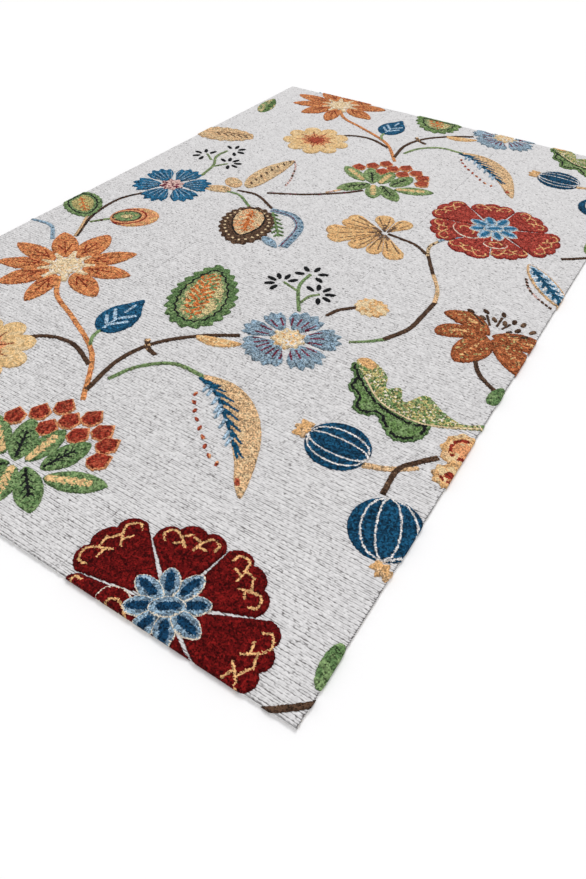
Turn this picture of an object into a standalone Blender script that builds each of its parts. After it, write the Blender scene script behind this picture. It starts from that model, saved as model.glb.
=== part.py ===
"""A hand-tufted rug, 5 by 8 feet, lying flat: a low loop-pile ground with carved cut-pile flowers,
leaves and stems raised above it. Metres, +Z up, origin at the centre of the underside.
X runs along the short side and Y along the long one."""

import math
from collections import namedtuple

import bmesh
import bpy
from mathutils import Vector

# Driving sizes of the rug
RUG_WIDTH = 1.524
RUG_LENGTH = 2.438
GROUND_HEIGHT = 0.0085
EDGE_ROLL = 0.0040
EDGE_ROLL_STEPS = 3
PILE_MARGIN = 0.0045

# Heights of the cut pile above the loop ground, and the slope that the shears leave on its rim
STEM_RISE = 0.0020
LEAF_RISE = 0.0025
FLOWER_RISE = 0.0030
CARVED_SLOPE = 0.0010
ROOT_DEPTH = 0.0030

# Where the pattern lies on the rug, and where each motif comes again along its length
PATTERN_SCALE = 0.9898
PATTERN_SHIFT = Vector((0.0095, -0.0162))
COPIES = [Vector((0.0, 0.0)), Vector((0.008, 1.617)), Vector((0.0, -1.63))]

GROUND_COLOUR = (0.66, 0.645, 0.64, 1.0)
PILE_ROUGHNESS = 0.95

Leaf = namedtuple("Leaf", "base tip width blunt sharp bend")
Petal = namedtuple("Petal", "angle reach width")
Fan = namedtuple("Fan", "start end inner outer lobes depth")
Oval = namedtuple("Oval", "centre length width turn")
Stem = namedtuple("Stem", "width points")
Motif = namedtuple("Motif", "name rise outlines")


def polar(centre, angle, radius):
    """The point at an angle in degrees and a radius from a centre."""
    turn = math.radians(angle)
    return Vector((centre[0] + radius * math.cos(turn), centre[1] + radius * math.sin(turn)))


def leaf(shape, steps=4):
    """Closed outline from base to tip; blunt and sharp shape the two ends, 0.5 round and 1 pointed."""
    base = Vector(shape.base)
    along = Vector(shape.tip) - base
    side = Vector((-along.y, along.x)).normalized()
    widest = shape.blunt / (shape.blunt + shape.sharp)
    peak = widest ** shape.blunt * (1 - widest) ** shape.sharp
    left = []
    right = []
    for step in range(1, steps):
        t = (1 - math.cos(math.pi * step / steps)) / 2
        half = shape.width / 2 * t ** shape.blunt * (1 - t) ** shape.sharp / peak
        middle = base + along * t + side * shape.bend * 4 * t * (1 - t)
        right.append(middle - side * half)
        left.append(middle + side * half)
    return [base, *right, Vector(shape.tip), *reversed(left)]


def petal(centre, heart, row, steps=4):
    """Outline of a pointed petal that starts on a flower's heart."""
    base = polar(centre, row.angle, heart)
    return leaf(Leaf(base, polar(centre, row.angle, row.reach), row.width, 0.6, 0.8, 0.0), steps)


def fan(centre, row, per_lobe=3):
    """Outline of a petal that widens outwards, its outer rim cut into lobes."""
    span = row.end - row.start
    middle = (row.start + row.end) / 2
    outline = [polar(centre, middle - span * 0.30, row.inner)]
    for lobe in range(row.lobes):
        for step in range(per_lobe):
            u = (lobe + step / per_lobe) / row.lobes
            bulge = math.sin(math.pi * step / per_lobe) ** 0.7 if step else 0.0
            shoulder = abs(2 * u - 1) ** 3 * row.depth
            outline.append(
                polar(centre, row.start + span * u, row.outer - row.depth * (1 - bulge) - shoulder)
            )
    outline.append(polar(centre, row.end, row.outer - 2 * row.depth))
    outline.append(polar(centre, middle + span * 0.30, row.inner))
    return outline


def oval(row, steps=12):
    """Outline of an oval, its length turned by an angle in degrees."""
    turn = math.radians(row.turn)
    outline = []
    for step in range(steps):
        angle = 2 * math.pi * step / steps
        x = row.length / 2 * math.cos(angle)
        y = row.width / 2 * math.sin(angle)
        outline.append(
            Vector(
                (
                    row.centre[0] + x * math.cos(turn) - y * math.sin(turn),
                    row.centre[1] + x * math.sin(turn) + y * math.cos(turn),
                )
            )
        )
    return outline


def smooth_line(points, per_span=2):
    """Points along a Catmull-Rom curve through the given ones."""
    points = [Vector(p) for p in points]
    padded = [2 * points[0] - points[1], *points, 2 * points[-1] - points[-2]]
    line = []
    for a, b, c, d in zip(padded, padded[1:], padded[2:], padded[3:]):
        for step in range(per_span):
            t = step / per_span
            line.append(
                0.5
                * (
                    2 * b
                    + (c - a) * t
                    + (2 * a - 5 * b + 4 * c - d) * t**2
                    + (3 * b - 3 * c + d - a) * t**3
                )
            )
    return [*line, points[-1]]


def stem(row):
    """Outline of a stem of one width along a smooth line."""
    line = smooth_line(row.points)
    left = []
    right = []
    for index, point in enumerate(line):
        before = line[max(index - 1, 0)]
        after = line[min(index + 1, len(line) - 1)]
        along = (after - before).normalized()
        side = Vector((-along.y, along.x)) * row.width / 2
        left.append(point + side)
        right.append(point - side)
    return [*right, *reversed(left)]


def margin_leaf(vein, upper, lower, lobes_up, lobes_down, steps=20):
    """Outline of a leaf whose two margins stand off a curved vein, each cut into lobes."""
    line = smooth_line(vein, 5)
    count = len(line) - 1

    def margin(reach, lobes, sign):
        points = []
        for step in range(1, steps):
            t = step / steps
            at = min(int(t * count), count - 1)
            along = (line[at + 1] - line[at]).normalized()
            side = Vector((-along.y, along.x)) * sign
            envelope = reach * t**0.35 * (1 - t) ** 0.75 * 1.6
            notch = 1 - 0.35 * abs(math.cos(math.pi * lobes * t)) ** 3
            points.append(line[at].lerp(line[at + 1], t * count - at) + side * envelope * notch)
        return points

    return [line[0], *margin(lower, lobes_down, -1), line[-1], *reversed(margin(upper, lobes_up, 1))]


# Lily: nine pointed petals round a ragged heart
LILY_CENTRE = (-0.485, -0.46)
LILY_HEART = 0.062
LILY_PETALS = [
    Petal(angle=96, reach=0.205, width=0.084),
    Petal(angle=54, reach=0.205, width=0.068),
    Petal(angle=19, reach=0.197, width=0.066),
    Petal(angle=-21, reach=0.192, width=0.070),
    Petal(angle=-79, reach=0.195, width=0.060),
    Petal(angle=-119, reach=0.195, width=0.074),
    Petal(angle=-153, reach=0.205, width=0.060),
    Petal(angle=177, reach=0.215, width=0.062),
    Petal(angle=137, reach=0.200, width=0.080),
]


def lily():
    return [petal(LILY_CENTRE, LILY_HEART, row, 5) for row in LILY_PETALS]


# Pale cornflower: six broad petals with toothed rims
PALE_CORNFLOWER = (0.228, -0.392)
PALE_PETALS = [
    Fan(start=62, end=121, inner=0.046, outer=0.124, lobes=4, depth=0.008),
    Fan(start=6, end=57, inner=0.046, outer=0.130, lobes=4, depth=0.008),
    Fan(start=-61, end=0, inner=0.046, outer=0.126, lobes=4, depth=0.008),
    Fan(start=-153, end=-66, inner=0.046, outer=0.122, lobes=5, depth=0.008),
    Fan(start=168, end=203, inner=0.046, outer=0.124, lobes=3, depth=0.008),
    Fan(start=126, end=162, inner=0.046, outer=0.116, lobes=3, depth=0.008),
]


def pale_cornflower():
    return [fan(PALE_CORNFLOWER, row, 2) for row in PALE_PETALS]


# Deep blue cornflower: a ring of toothed petals
DEEP_CORNFLOWER = (-0.575, 0.130)
DEEP_PETALS = 6
DEEP_INNER = 0.040
DEEP_OUTER = 0.132
DEEP_GAP = 5


def deep_cornflower():
    span = 360 / DEEP_PETALS
    rows = [
        Fan(span * n + DEEP_GAP, span * (n + 1), DEEP_INNER, DEEP_OUTER, 4, 0.008)
        for n in range(DEEP_PETALS)
    ]
    return [fan(DEEP_CORNFLOWER, row, 2) for row in rows]


# Yellow flower: nine round petals
YELLOW_FLOWER = (-0.375, -0.855)
YELLOW_PETALS = 9
YELLOW_HEART = 0.030
YELLOW_REACH = 0.128
YELLOW_WIDTH = 0.062


def yellow_flower():
    outlines = []
    for n in range(YELLOW_PETALS):
        angle = 360 / YELLOW_PETALS * n + 8
        base = polar(YELLOW_FLOWER, angle, YELLOW_HEART)
        tip = polar(YELLOW_FLOWER, angle, YELLOW_REACH)
        outlines.append(leaf(Leaf(base, tip, YELLOW_WIDTH, 0.9, 0.5, 0.0)))
    return outlines


# Artichoke: red scales over a fan of leaves
ARTICHOKE = (0.0, -1.070)
SCALE_CENTRES = [
    (-0.122, -0.975),
    (-0.085, -0.935),
    (-0.051, -0.893),
    (-0.040, -0.965),
    (-0.014, -0.922),
    (0.026, -0.885),
    (0.034, -0.945),
    (0.076, -0.905),
    (0.112, -0.945),
    (0.134, -0.985),
]
SCALE_LENGTH = 0.056
SCALE_WIDTH = 0.046
LeafOnRoot = namedtuple("LeafOnRoot", "base tip width")
ARTICHOKE_LEAVES = [
    LeafOnRoot(base=(-0.052, 0.000), tip=(-0.166, 0.072), width=0.056),
    LeafOnRoot(base=(-0.018, 0.000), tip=(-0.082, 0.110), width=0.060),
    LeafOnRoot(base=(0.003, 0.010), tip=(0.003, 0.124), width=0.054),
    LeafOnRoot(base=(0.044, 0.012), tip=(0.078, 0.125), width=0.060),
    LeafOnRoot(base=(0.066, -0.002), tip=(0.190, 0.054), width=0.056),
    LeafOnRoot(base=(0.014, 0.000), tip=(0.114, -0.078), width=0.060),
    LeafOnRoot(base=(-0.010, -0.010), tip=(0.034, -0.104), width=0.056),
    LeafOnRoot(base=(-0.022, -0.010), tip=(-0.102, -0.110), width=0.060),
]


def artichoke_scales():
    """Each scale is a lozenge that points away from the root of the leaves."""
    outlines = []
    for x, y in SCALE_CENTRES:
        angle = math.degrees(math.atan2(y - ARTICHOKE[1], x - ARTICHOKE[0]))
        lean = 90 + (angle - 90) * 0.55
        outlines.append(oval(Oval((x, y), SCALE_LENGTH, SCALE_WIDTH, lean), 6))
    return outlines


def artichoke_leaves():
    root = Vector(ARTICHOKE)
    outlines = []
    for row in ARTICHOKE_LEAVES:
        shape = Leaf(root + Vector(row.base), root + Vector(row.tip), row.width, 0.7, 0.7, 0.0)
        outlines.append(leaf(shape))
    return outlines


# Peony: scalloped outer petals, two inner curls and a star of small leaves
PEONY = (0.460, 0.475)
PEONY_PETALS = [
    Fan(start=141, end=189, inner=0.096, outer=0.214, lobes=3, depth=0.012),
    Fan(start=84, end=136, inner=0.080, outer=0.178, lobes=3, depth=0.012),
    Fan(start=27, end=80, inner=0.080, outer=0.188, lobes=3, depth=0.012),
    Fan(start=-29, end=24, inner=0.072, outer=0.225, lobes=4, depth=0.012),
    Fan(start=-70, end=-33, inner=0.070, outer=0.190, lobes=3, depth=0.012),
    Fan(start=-117, end=-74, inner=0.128, outer=0.208, lobes=2, depth=0.012),
    Fan(start=192, end=238, inner=0.120, outer=0.200, lobes=3, depth=0.012),
]
PEONY_CURLS = [
    Oval(centre=(0.392, 0.415), length=0.105, width=0.070, turn=-35),
    Oval(centre=(0.500, 0.378), length=0.070, width=0.045, turn=20),
]
PEONY_STAR = 9
PEONY_STAR_REACH = 0.078
PEONY_STAR_WIDTH = 0.032


def peony():
    star = [
        petal(PEONY, 0.016, Petal(360 / PEONY_STAR * n + 12, PEONY_STAR_REACH, PEONY_STAR_WIDTH), 3)
        for n in range(PEONY_STAR)
    ]
    return [*(fan(PEONY, row) for row in PEONY_PETALS), *(oval(row, 10) for row in PEONY_CURLS), *star]


# Butterfly flower: five golden lobes
BUTTERFLY = (0.185, 0.248)
BUTTERFLY_LOBES = [
    Fan(start=92, end=133, inner=0.018, outer=0.112, lobes=2, depth=0.006),
    Fan(start=48, end=88, inner=0.018, outer=0.114, lobes=2, depth=0.006),
    Fan(start=152, end=203, inner=0.018, outer=0.145, lobes=2, depth=0.006),
    Fan(start=208, end=260, inner=0.018, outer=0.172, lobes=3, depth=0.008),
    Fan(start=270, end=314, inner=0.018, outer=0.164, lobes=3, depth=0.008),
]


def butterfly_flower():
    return [fan(BUTTERFLY, row) for row in BUTTERFLY_LOBES]


# Lotus: broad petals at the right edge
LOTUS_PETALS = [
    Leaf(base=(0.648, -0.084), tip=(0.513, -0.050), width=0.060, blunt=0.7, sharp=0.7, bend=-0.016),
    Leaf(base=(0.640, -0.098), tip=(0.524, -0.142), width=0.056, blunt=0.8, sharp=0.5, bend=-0.014),
    Leaf(base=(0.650, -0.106), tip=(0.614, -0.236), width=0.086, blunt=0.6, sharp=0.7, bend=0.0),
    Leaf(base=(0.662, -0.102), tip=(0.775, -0.200), width=0.070, blunt=0.7, sharp=0.5, bend=0.010),
    Leaf(base=(0.660, -0.086), tip=(0.785, -0.078), width=0.060, blunt=0.7, sharp=0.5, bend=0.012),
]

# Leaves that stand alone
BLUE_LEAF = Leaf(base=(-0.187, -0.637), tip=(-0.187, -0.466), width=0.106, blunt=0.5, sharp=0.9, bend=0.0)
SERRATED_LEAF = Leaf(
    base=(-0.020, -0.499), tip=(-0.127, -0.204), width=0.192, blunt=0.5, sharp=0.6, bend=0.0
)
GOLDEN_LEAF = Leaf(
    base=(0.026, -0.516), tip=(0.143, -0.478), width=0.036, blunt=0.6, sharp=0.7, bend=-0.010
)
FEATHER_LEAF = Leaf(
    base=(0.136, -0.636), tip=(0.428, -0.894), width=0.092, blunt=0.7, sharp=0.8, bend=0.062
)
BROWN_FRUIT = Leaf(base=(-0.240, 0.155), tip=(-0.150, -0.074), width=0.164, blunt=0.5, sharp=0.6, bend=0.0)
FERN = Leaf(base=(-0.178, 0.160), tip=(-0.078, 0.038), width=0.034, blunt=0.6, sharp=0.6, bend=0.0)
SMALL_BLUE_LEAF = Leaf(
    base=(-0.116, 0.010), tip=(-0.045, -0.026), width=0.034, blunt=0.6, sharp=0.8, bend=0.0
)
GREEN_BUD = Leaf(base=(-0.790, -0.100), tip=(-0.648, -0.204), width=0.120, blunt=0.5, sharp=0.6, bend=0.0)
BEIGE_BLADE = Leaf(base=(-0.352, 0.262), tip=(-0.335, 0.550), width=0.078, blunt=0.5, sharp=0.7, bend=0.014)
BEIGE_LOBES = [
    Leaf(base=(-0.385, 0.215), tip=(-0.485, 0.176), width=0.050, blunt=0.5, sharp=0.9, bend=0.0),
    Leaf(base=(-0.378, 0.244), tip=(-0.446, 0.292), width=0.058, blunt=0.6, sharp=0.6, bend=0.0),
]
LEFT_BEIGE_LEAF = Leaf(
    base=(-0.800, 0.566), tip=(-0.584, 0.642), width=0.120, blunt=0.5, sharp=0.6, bend=0.0
)
LEFT_GREEN_LEAF = Leaf(
    base=(-0.712, 0.885), tip=(-0.752, 1.056), width=0.064, blunt=0.6, sharp=0.8, bend=0.0
)
LOTUS_LEAF = Leaf(base=(0.745, -0.342), tip=(0.752, -0.268), width=0.036, blunt=0.5, sharp=0.7, bend=0.0)
RIGHT_GREEN_LEAF = Leaf(
    base=(0.752, 0.466), tip=(0.752, 0.566), width=0.040, blunt=0.5, sharp=0.5, bend=0.0
)
RIGHT_FEATHER = Leaf(base=(0.622, 0.326), tip=(0.790, 0.140), width=0.070, blunt=0.7, sharp=0.7, bend=0.0)

ACANTHUS_VEIN = [
    (0.418, -0.352),
    (0.458, -0.415),
    (0.530, -0.475),
    (0.620, -0.492),
    (0.690, -0.470),
    (0.775, -0.420),
]
ACANTHUS_UPPER = 0.092
ACANTHUS_LOWER = 0.080

# Round fruits, buds and the small flower at the right edge
BLUE_FRUITS = [
    Oval(centre=(0.524, -0.658), length=0.144, width=0.134, turn=90),
    Oval(centre=(0.708, -0.797), length=0.156, width=0.146, turn=110),
]
FRUIT_CROWNS = [
    Oval(centre=(0.432, -0.652), length=0.054, width=0.034, turn=90),
    Oval(centre=(0.736, -0.888), length=0.044, width=0.030, turn=-20),
]
ORANGE_BUD = Oval(centre=(-0.522, -0.124), length=0.156, width=0.122, turn=40)
PALE_BUD = Oval(centre=(0.340, -0.146), length=0.086, width=0.076, turn=0)
EDGE_FLOWER = [
    Oval(centre=(0.748, -0.520), length=0.100, width=0.080, turn=90),
    Oval(centre=(0.752, -0.604), length=0.060, width=0.062, turn=90),
]

# Seeds: three clusters on each sprig, every seed pointing away from its twig's end
Cluster = namedtuple("Cluster", "centre first last seeds")
SEED_REACH = 0.032
SEED_LENGTH = 0.026
SEED_WIDTH = 0.012
SEED_CLUSTERS = [
    Cluster(centre=(0.124, -0.092), first=-20, last=200, seeds=5),
    Cluster(centre=(0.074, -0.174), first=50, last=260, seeds=6),
    Cluster(centre=(0.190, -0.168), first=-60, last=160, seeds=6),
    Cluster(centre=(-0.572, 0.492), first=-50, last=150, seeds=5),
    Cluster(centre=(-0.636, 0.402), first=70, last=280, seeds=5),
    Cluster(centre=(-0.520, 0.388), first=-60, last=160, seeds=6),
]


def seeds():
    outlines = []
    for row in SEED_CLUSTERS:
        for n in range(row.seeds):
            angle = row.first + (row.last - row.first) * n / (row.seeds - 1)
            middle = polar(row.centre, angle, SEED_REACH)
            outlines.append(oval(Oval(middle, SEED_LENGTH, SEED_WIDTH, angle), 4))
    return outlines


# Stems, each through a few points from its root to its end
BLUE_ARC = Stem(width=0.030, points=[(-0.192, 0.172), (-0.110, 0.176), (-0.052, 0.118), (-0.032, -0.010)])
STEMS = {
    "lily_stem": Stem(
        0.014, [(-0.462, -0.510), (-0.395, -0.588), (-0.285, -0.642), (-0.150, -0.728), (-0.045, -0.858)]
    ),
    "knotted_stem": Stem(
        0.012, [(0.118, -0.450), (0.035, -0.510), (-0.038, -0.596), (-0.068, -0.700), (-0.054, -0.824)]
    ),
    "stem_knot": Stem(0.014, [(-0.066, -0.594), (-0.040, -0.622), (-0.008, -0.634)]),
    "blue_leaf_stem": Stem(0.010, [(-0.190, -0.626), (-0.186, -0.665), (-0.166, -0.696)]),
    "yellow_flower_stem": Stem(
        0.012, [(-0.342, -0.788), (-0.285, -0.730), (-0.205, -0.715), (-0.115, -0.752)]
    ),
    "feather_stem": Stem(0.012, [(-0.040, -0.766), (-0.012, -0.692), (0.055, -0.634), (0.150, -0.634)]),
    "fruit_branch": Stem(0.012, [(0.582, -0.672), (0.640, -0.655), (0.692, -0.618)]),
    "fruit_stem": Stem(0.013, [(0.714, -0.566), (0.676, -0.640), (0.668, -0.724)]),
    "lotus_stem": Stem(0.011, [(0.654, -0.200), (0.690, -0.255), (0.756, -0.300)]),
    "sprig_stem": Stem(0.010, [(0.186, -0.272), (0.124, -0.170), (0.117, -0.095)]),
    "sprig_left_twig": Stem(0.008, [(0.135, -0.192), (0.075, -0.172)]),
    "sprig_right_twig": Stem(0.008, [(0.168, -0.236), (0.172, -0.196), (0.192, -0.170)]),
    "bud_stem": Stem(0.011, [(0.257, -0.248), (0.272, -0.205), (0.306, -0.168)]),
    "long_stem": Stem(
        0.013,
        [(0.362, -0.316), (0.440, -0.240), (0.470, -0.120), (0.464, 0.000), (0.408, 0.112), (0.350, 0.208)],
    ),
    "butterfly_stem": Stem(0.010, [(0.352, 0.200), (0.290, 0.238), (0.196, 0.250)]),
    "peony_stem": Stem(0.011, [(0.354, 0.196), (0.338, 0.262), (0.362, 0.332), (0.398, 0.358)]),
    "fruit_green_stem": Stem(0.010, [(-0.410, 0.196), (-0.340, 0.200), (-0.262, 0.148)]),
    "fruit_brown_stem": Stem(0.010, [(-0.366, 0.226), (-0.290, 0.235), (-0.196, 0.182)]),
    "artichoke_stem": Stem(0.011, [(-0.272, 0.268), (-0.160, 0.334), (-0.060, 0.420), (-0.012, 0.478)]),
    "cornflower_stem": Stem(0.010, [(-0.616, 0.024), (-0.650, -0.060), (-0.640, -0.190), (-0.586, -0.318)]),
    "bud_twig": Stem(0.009, [(-0.617, -0.228), (-0.580, -0.176)]),
    "pale_blue_stem": Stem(0.011, [(-0.756, -0.324), (-0.700, -0.316), (-0.632, -0.372)]),
    "left_sprig_stem": Stem(0.010, [(-0.537, 0.248), (-0.556, 0.345), (-0.592, 0.410), (-0.590, 0.478)]),
    "left_sprig_twig": Stem(0.008, [(-0.590, 0.376), (-0.636, 0.412)]),
    "right_sprig_twig": Stem(0.008, [(-0.550, 0.335), (-0.520, 0.384)]),
    "right_edge_stem": Stem(0.011, [(0.688, 0.404), (0.726, 0.430), (0.770, 0.466)]),
}

ALL_MOTIFS = [
    Motif("lily", FLOWER_RISE, lily()),
    Motif("pale_cornflower", FLOWER_RISE, pale_cornflower()),
    Motif("deep_cornflower", FLOWER_RISE, deep_cornflower()),
    Motif("yellow_flower", FLOWER_RISE, yellow_flower()),
    Motif("artichoke_scales", FLOWER_RISE, artichoke_scales()),
    Motif("artichoke_leaves", LEAF_RISE, artichoke_leaves()),
    Motif("peony", FLOWER_RISE, peony()),
    Motif("butterfly_flower", FLOWER_RISE, butterfly_flower()),
    Motif("lotus", FLOWER_RISE, [leaf(row, 5) for row in LOTUS_PETALS]),
    Motif("blue_leaf", LEAF_RISE, [leaf(BLUE_LEAF, 6)]),
    Motif("serrated_leaf", LEAF_RISE, [leaf(SERRATED_LEAF, 7)]),
    Motif("golden_leaf", LEAF_RISE, [leaf(GOLDEN_LEAF)]),
    Motif("feather_leaf", LEAF_RISE, [leaf(FEATHER_LEAF, 7)]),
    Motif("brown_fruit", FLOWER_RISE, [leaf(BROWN_FRUIT, 7)]),
    Motif("blue_arc", FLOWER_RISE, [stem(BLUE_ARC)]),
    Motif("fern", LEAF_RISE, [leaf(FERN)]),
    Motif("small_blue_leaf", LEAF_RISE, [leaf(SMALL_BLUE_LEAF)]),
    Motif("green_bud", LEAF_RISE, [leaf(GREEN_BUD, 6)]),
    Motif("beige_leaf", LEAF_RISE, [leaf(BEIGE_BLADE, 6), *(leaf(row) for row in BEIGE_LOBES)]),
    Motif("left_beige_leaf", LEAF_RISE, [leaf(LEFT_BEIGE_LEAF, 6)]),
    Motif("left_green_leaf", LEAF_RISE, [leaf(LEFT_GREEN_LEAF)]),
    Motif("lotus_leaf", LEAF_RISE, [leaf(LOTUS_LEAF)]),
    Motif("right_green_leaf", LEAF_RISE, [leaf(RIGHT_GREEN_LEAF)]),
    Motif("right_feather", LEAF_RISE, [leaf(RIGHT_FEATHER, 5)]),
    Motif("acanthus", LEAF_RISE, [margin_leaf(ACANTHUS_VEIN, ACANTHUS_UPPER, ACANTHUS_LOWER, 3, 4)]),
    Motif("blue_fruits", FLOWER_RISE, [oval(row, 14) for row in BLUE_FRUITS]),
    Motif("fruit_crowns", LEAF_RISE, [oval(row, 6) for row in FRUIT_CROWNS]),
    Motif("orange_bud", FLOWER_RISE, [oval(ORANGE_BUD)]),
    Motif("pale_bud", LEAF_RISE, [oval(PALE_BUD, 10)]),
    Motif("edge_flower", FLOWER_RISE, [oval(row, 10) for row in EDGE_FLOWER]),
    Motif("seeds", STEM_RISE, seeds()),
    *(Motif(name, STEM_RISE, [stem(row)]) for name, row in STEMS.items()),
]


def repeated(motif):
    """Each shape of the motif and its copies along the rug, as far as they reach onto it."""
    inside_x = RUG_WIDTH / 2 - PILE_MARGIN
    inside_y = RUG_LENGTH / 2 - PILE_MARGIN
    copies = []
    for shift in COPIES:
        for outline in motif.outlines:
            placed = [(p + shift) * PATTERN_SCALE + PATTERN_SHIFT for p in outline]
            moved = [(p.x, p.y) for p in placed]
            if min(abs(y) for _, y in moved) < inside_y:
                crosses = any(abs(x) > inside_x or abs(y) > inside_y for x, y in moved)
                copies.append((moved, crosses))
    return copies


def collection(name):
    made = bpy.data.collections.new(name)
    bpy.context.scene.collection.children.link(made)
    return made


def hide_cutter(body):
    body.hide_render = True
    body.display_type = "WIRE"


def block(name, width, length, low, high, home):
    """A box centred on the origin in X and Y, between two heights."""
    bpy.ops.mesh.primitive_cube_add(size=1.0)
    body = bpy.context.active_object
    body.name = name
    for point in body.data.vertices:
        point.co.x *= width
        point.co.y *= length
        point.co.z = low if point.co.z < 0 else high
    for other in list(body.users_collection):
        other.objects.unlink(body)
    home.objects.link(body)
    return body


def raised_body(name, rise, outline, home):
    """A closed body on an outline, from inside the ground up to its pile height, its rim sloped."""
    low = GROUND_HEIGHT - ROOT_DEPTH
    high = GROUND_HEIGHT + rise
    curve = bpy.data.curves.new(name + "_outline", "CURVE")
    curve.dimensions = "2D"
    curve.fill_mode = "BOTH"
    curve.extrude = (high - low) / 2
    spline = curve.splines.new("POLY")
    spline.points.add(len(outline) - 1)
    for point, (x, y) in zip(spline.points, outline):
        point.co = (x, y, 0.0, 1.0)
    spline.use_cyclic_u = True
    guide = bpy.data.objects.new(name + "_outline", curve)
    guide.location.z = (high + low) / 2
    home.objects.link(guide)
    bpy.context.view_layer.update()
    evaluated = guide.evaluated_get(bpy.context.evaluated_depsgraph_get())
    mesh = bpy.data.meshes.new_from_object(evaluated)
    mesh.transform(guide.matrix_world)
    bpy.data.objects.remove(guide)
    shape = bmesh.new()
    shape.from_mesh(mesh)
    bmesh.ops.remove_doubles(shape, verts=shape.verts, dist=0.0001)
    flat = [e for e in shape.edges if all(abs(f.normal.z) > 0.9 for f in e.link_faces)]
    bmesh.ops.dissolve_edges(shape, edges=flat, use_verts=False)
    bmesh.ops.recalc_face_normals(shape, faces=shape.faces)
    for point in shape.verts:
        if point.co.z > GROUND_HEIGHT:
            outwards = Vector((point.normal.x, point.normal.y, 0.0))
            point.co -= outwards.normalized() * CARVED_SLOPE
    shape.to_mesh(mesh)
    shape.free()
    body = bpy.data.objects.new(name, mesh)
    home.objects.link(body)
    hide_cutter(body)
    return body


def ground_body(home):
    """The rug without its raised pile: a slab whose upper edges are rolled over."""
    slab = block("rug", RUG_WIDTH, RUG_LENGTH, 0.0, GROUND_HEIGHT, home)
    shape = bmesh.new()
    shape.from_mesh(slab.data)
    upper = [e for e in shape.edges if all(v.co.z > GROUND_HEIGHT / 2 for v in e.verts)]
    bmesh.ops.bevel(
        shape,
        geom=upper,
        offset=EDGE_ROLL,
        offset_type="OFFSET",
        segments=EDGE_ROLL_STEPS,
        profile=0.5,
        affect="EDGES",
    )
    shape.to_mesh(slab.data)
    shape.free()
    return slab


def pile_material():
    material = bpy.data.materials.new("loop_pile")
    material.use_nodes = True
    shader = material.node_tree.nodes["Principled BSDF"]
    shader.inputs["Base Color"].default_value = GROUND_COLOUR
    shader.inputs["Roughness"].default_value = PILE_ROUGHNESS
    shader.inputs["Metallic"].default_value = 0.0
    return material


def main():
    for old in list(bpy.data.objects):
        bpy.data.objects.remove(old)
    parts = collection("hand_tufted_rug")
    cutters = collection("cutters")
    relief = collection("raised_pile")
    rug = ground_body(parts)
    rug.data.materials.append(pile_material())
    field = block(
        "pile_field",
        RUG_WIDTH - 2 * PILE_MARGIN,
        RUG_LENGTH - 2 * PILE_MARGIN,
        0.0,
        GROUND_HEIGHT + 2 * FLOWER_RISE,
        cutters,
    )
    hide_cutter(field)
    for motif in ALL_MOTIFS:
        for number, (outline, crosses) in enumerate(repeated(motif), 1):
            body = raised_body(f"{motif.name}_{number}", motif.rise, outline, relief)
            if crosses:
                trim = body.modifiers.new("trim_at_rug_edge", "BOOLEAN")
                trim.operation = "INTERSECT"
                trim.object = field
    pile = rug.modifiers.new("raised_pile", "BOOLEAN")
    pile.operation = "UNION"
    pile.operand_type = "COLLECTION"
    pile.collection = relief


main()
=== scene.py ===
"""A hand-tufted rug on a pale studio floor: a loop-pile ground with cut-pile flowers, leaves and stems
carved above it. Metres, +Z up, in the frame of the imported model; X along the short side, Y along the long."""

import math
from collections import namedtuple

import bpy
import numpy as np
from mathutils import Matrix, Vector, geometry


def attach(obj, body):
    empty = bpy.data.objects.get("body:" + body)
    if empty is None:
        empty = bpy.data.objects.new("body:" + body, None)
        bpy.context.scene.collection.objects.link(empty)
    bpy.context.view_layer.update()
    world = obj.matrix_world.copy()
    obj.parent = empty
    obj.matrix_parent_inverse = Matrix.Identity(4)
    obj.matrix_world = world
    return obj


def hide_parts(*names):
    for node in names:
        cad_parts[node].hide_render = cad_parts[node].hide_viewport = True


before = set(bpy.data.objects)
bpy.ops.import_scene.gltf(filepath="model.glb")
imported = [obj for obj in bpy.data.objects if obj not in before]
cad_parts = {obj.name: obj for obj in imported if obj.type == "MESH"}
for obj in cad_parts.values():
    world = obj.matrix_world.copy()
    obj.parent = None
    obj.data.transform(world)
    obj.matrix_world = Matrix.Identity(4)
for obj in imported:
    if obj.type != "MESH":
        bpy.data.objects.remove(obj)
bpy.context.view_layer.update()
random = np.random.default_rng(20)

# Sizes of the rug
RUG_WIDTH = 1.524
RUG_LENGTH = 2.438
GROUND_HEIGHT = 0.0085
EDGE_ROLL = 0.0040
EDGE_FOOT = 0.0006
EDGE_SQUASH = 0.65
STEM_RISE = 0.0020
LEAF_RISE = 0.0025
FLOWER_RISE = 0.0030
RIM_RISE = 0.0008
CARVED_SLOPE = 0.0036
SKIRT = 0.0030

# Spacing of the loops and of the cut tufts
LOOP_PITCH_X = 0.00465
LOOP_PITCH_Y = 0.00445
LOOP_SHALLOW = 0.0008
LOOP_DEPTH = 0.0026
LOOP_UNEVEN = 0.00050
LOOP_STRAY = 0.0009
CREST_LOW = -0.0007
CREST_HIGH = 0.0004
VALLEY_STRAY = 0.0007
SUNK_SHARE = 0.10
SUNK_DEPTH = 0.0012
FURROW_RUN = 0.020
FURROW_DEEP = 0.54
FURROW_SHALLOW = 0.26
FURROW_CHANGE = 0.36
UNDER_MOTIF = 0.55
TUFT_PITCH = 0.0029
TUFT_STRAY = 0.30
TUFT_CLEAR = 0.45
RIM_PITCH = 0.0024
ON_RIM = 2e-5
RAGGED = 0.0009
TUFT_RAGGED = 0.0011
TUFT_UNEVEN = 0.00042
TILES_X = 3
TILES_Y = 5
BACKING_INSET = 0.0015
BACKING_HEIGHT = 0.0026

# How far single tufts stray from their yarn's colour
TUFT_LIGHT = 1.70
TUFT_DARK = 0.28
WHITEST = 0.98

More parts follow.
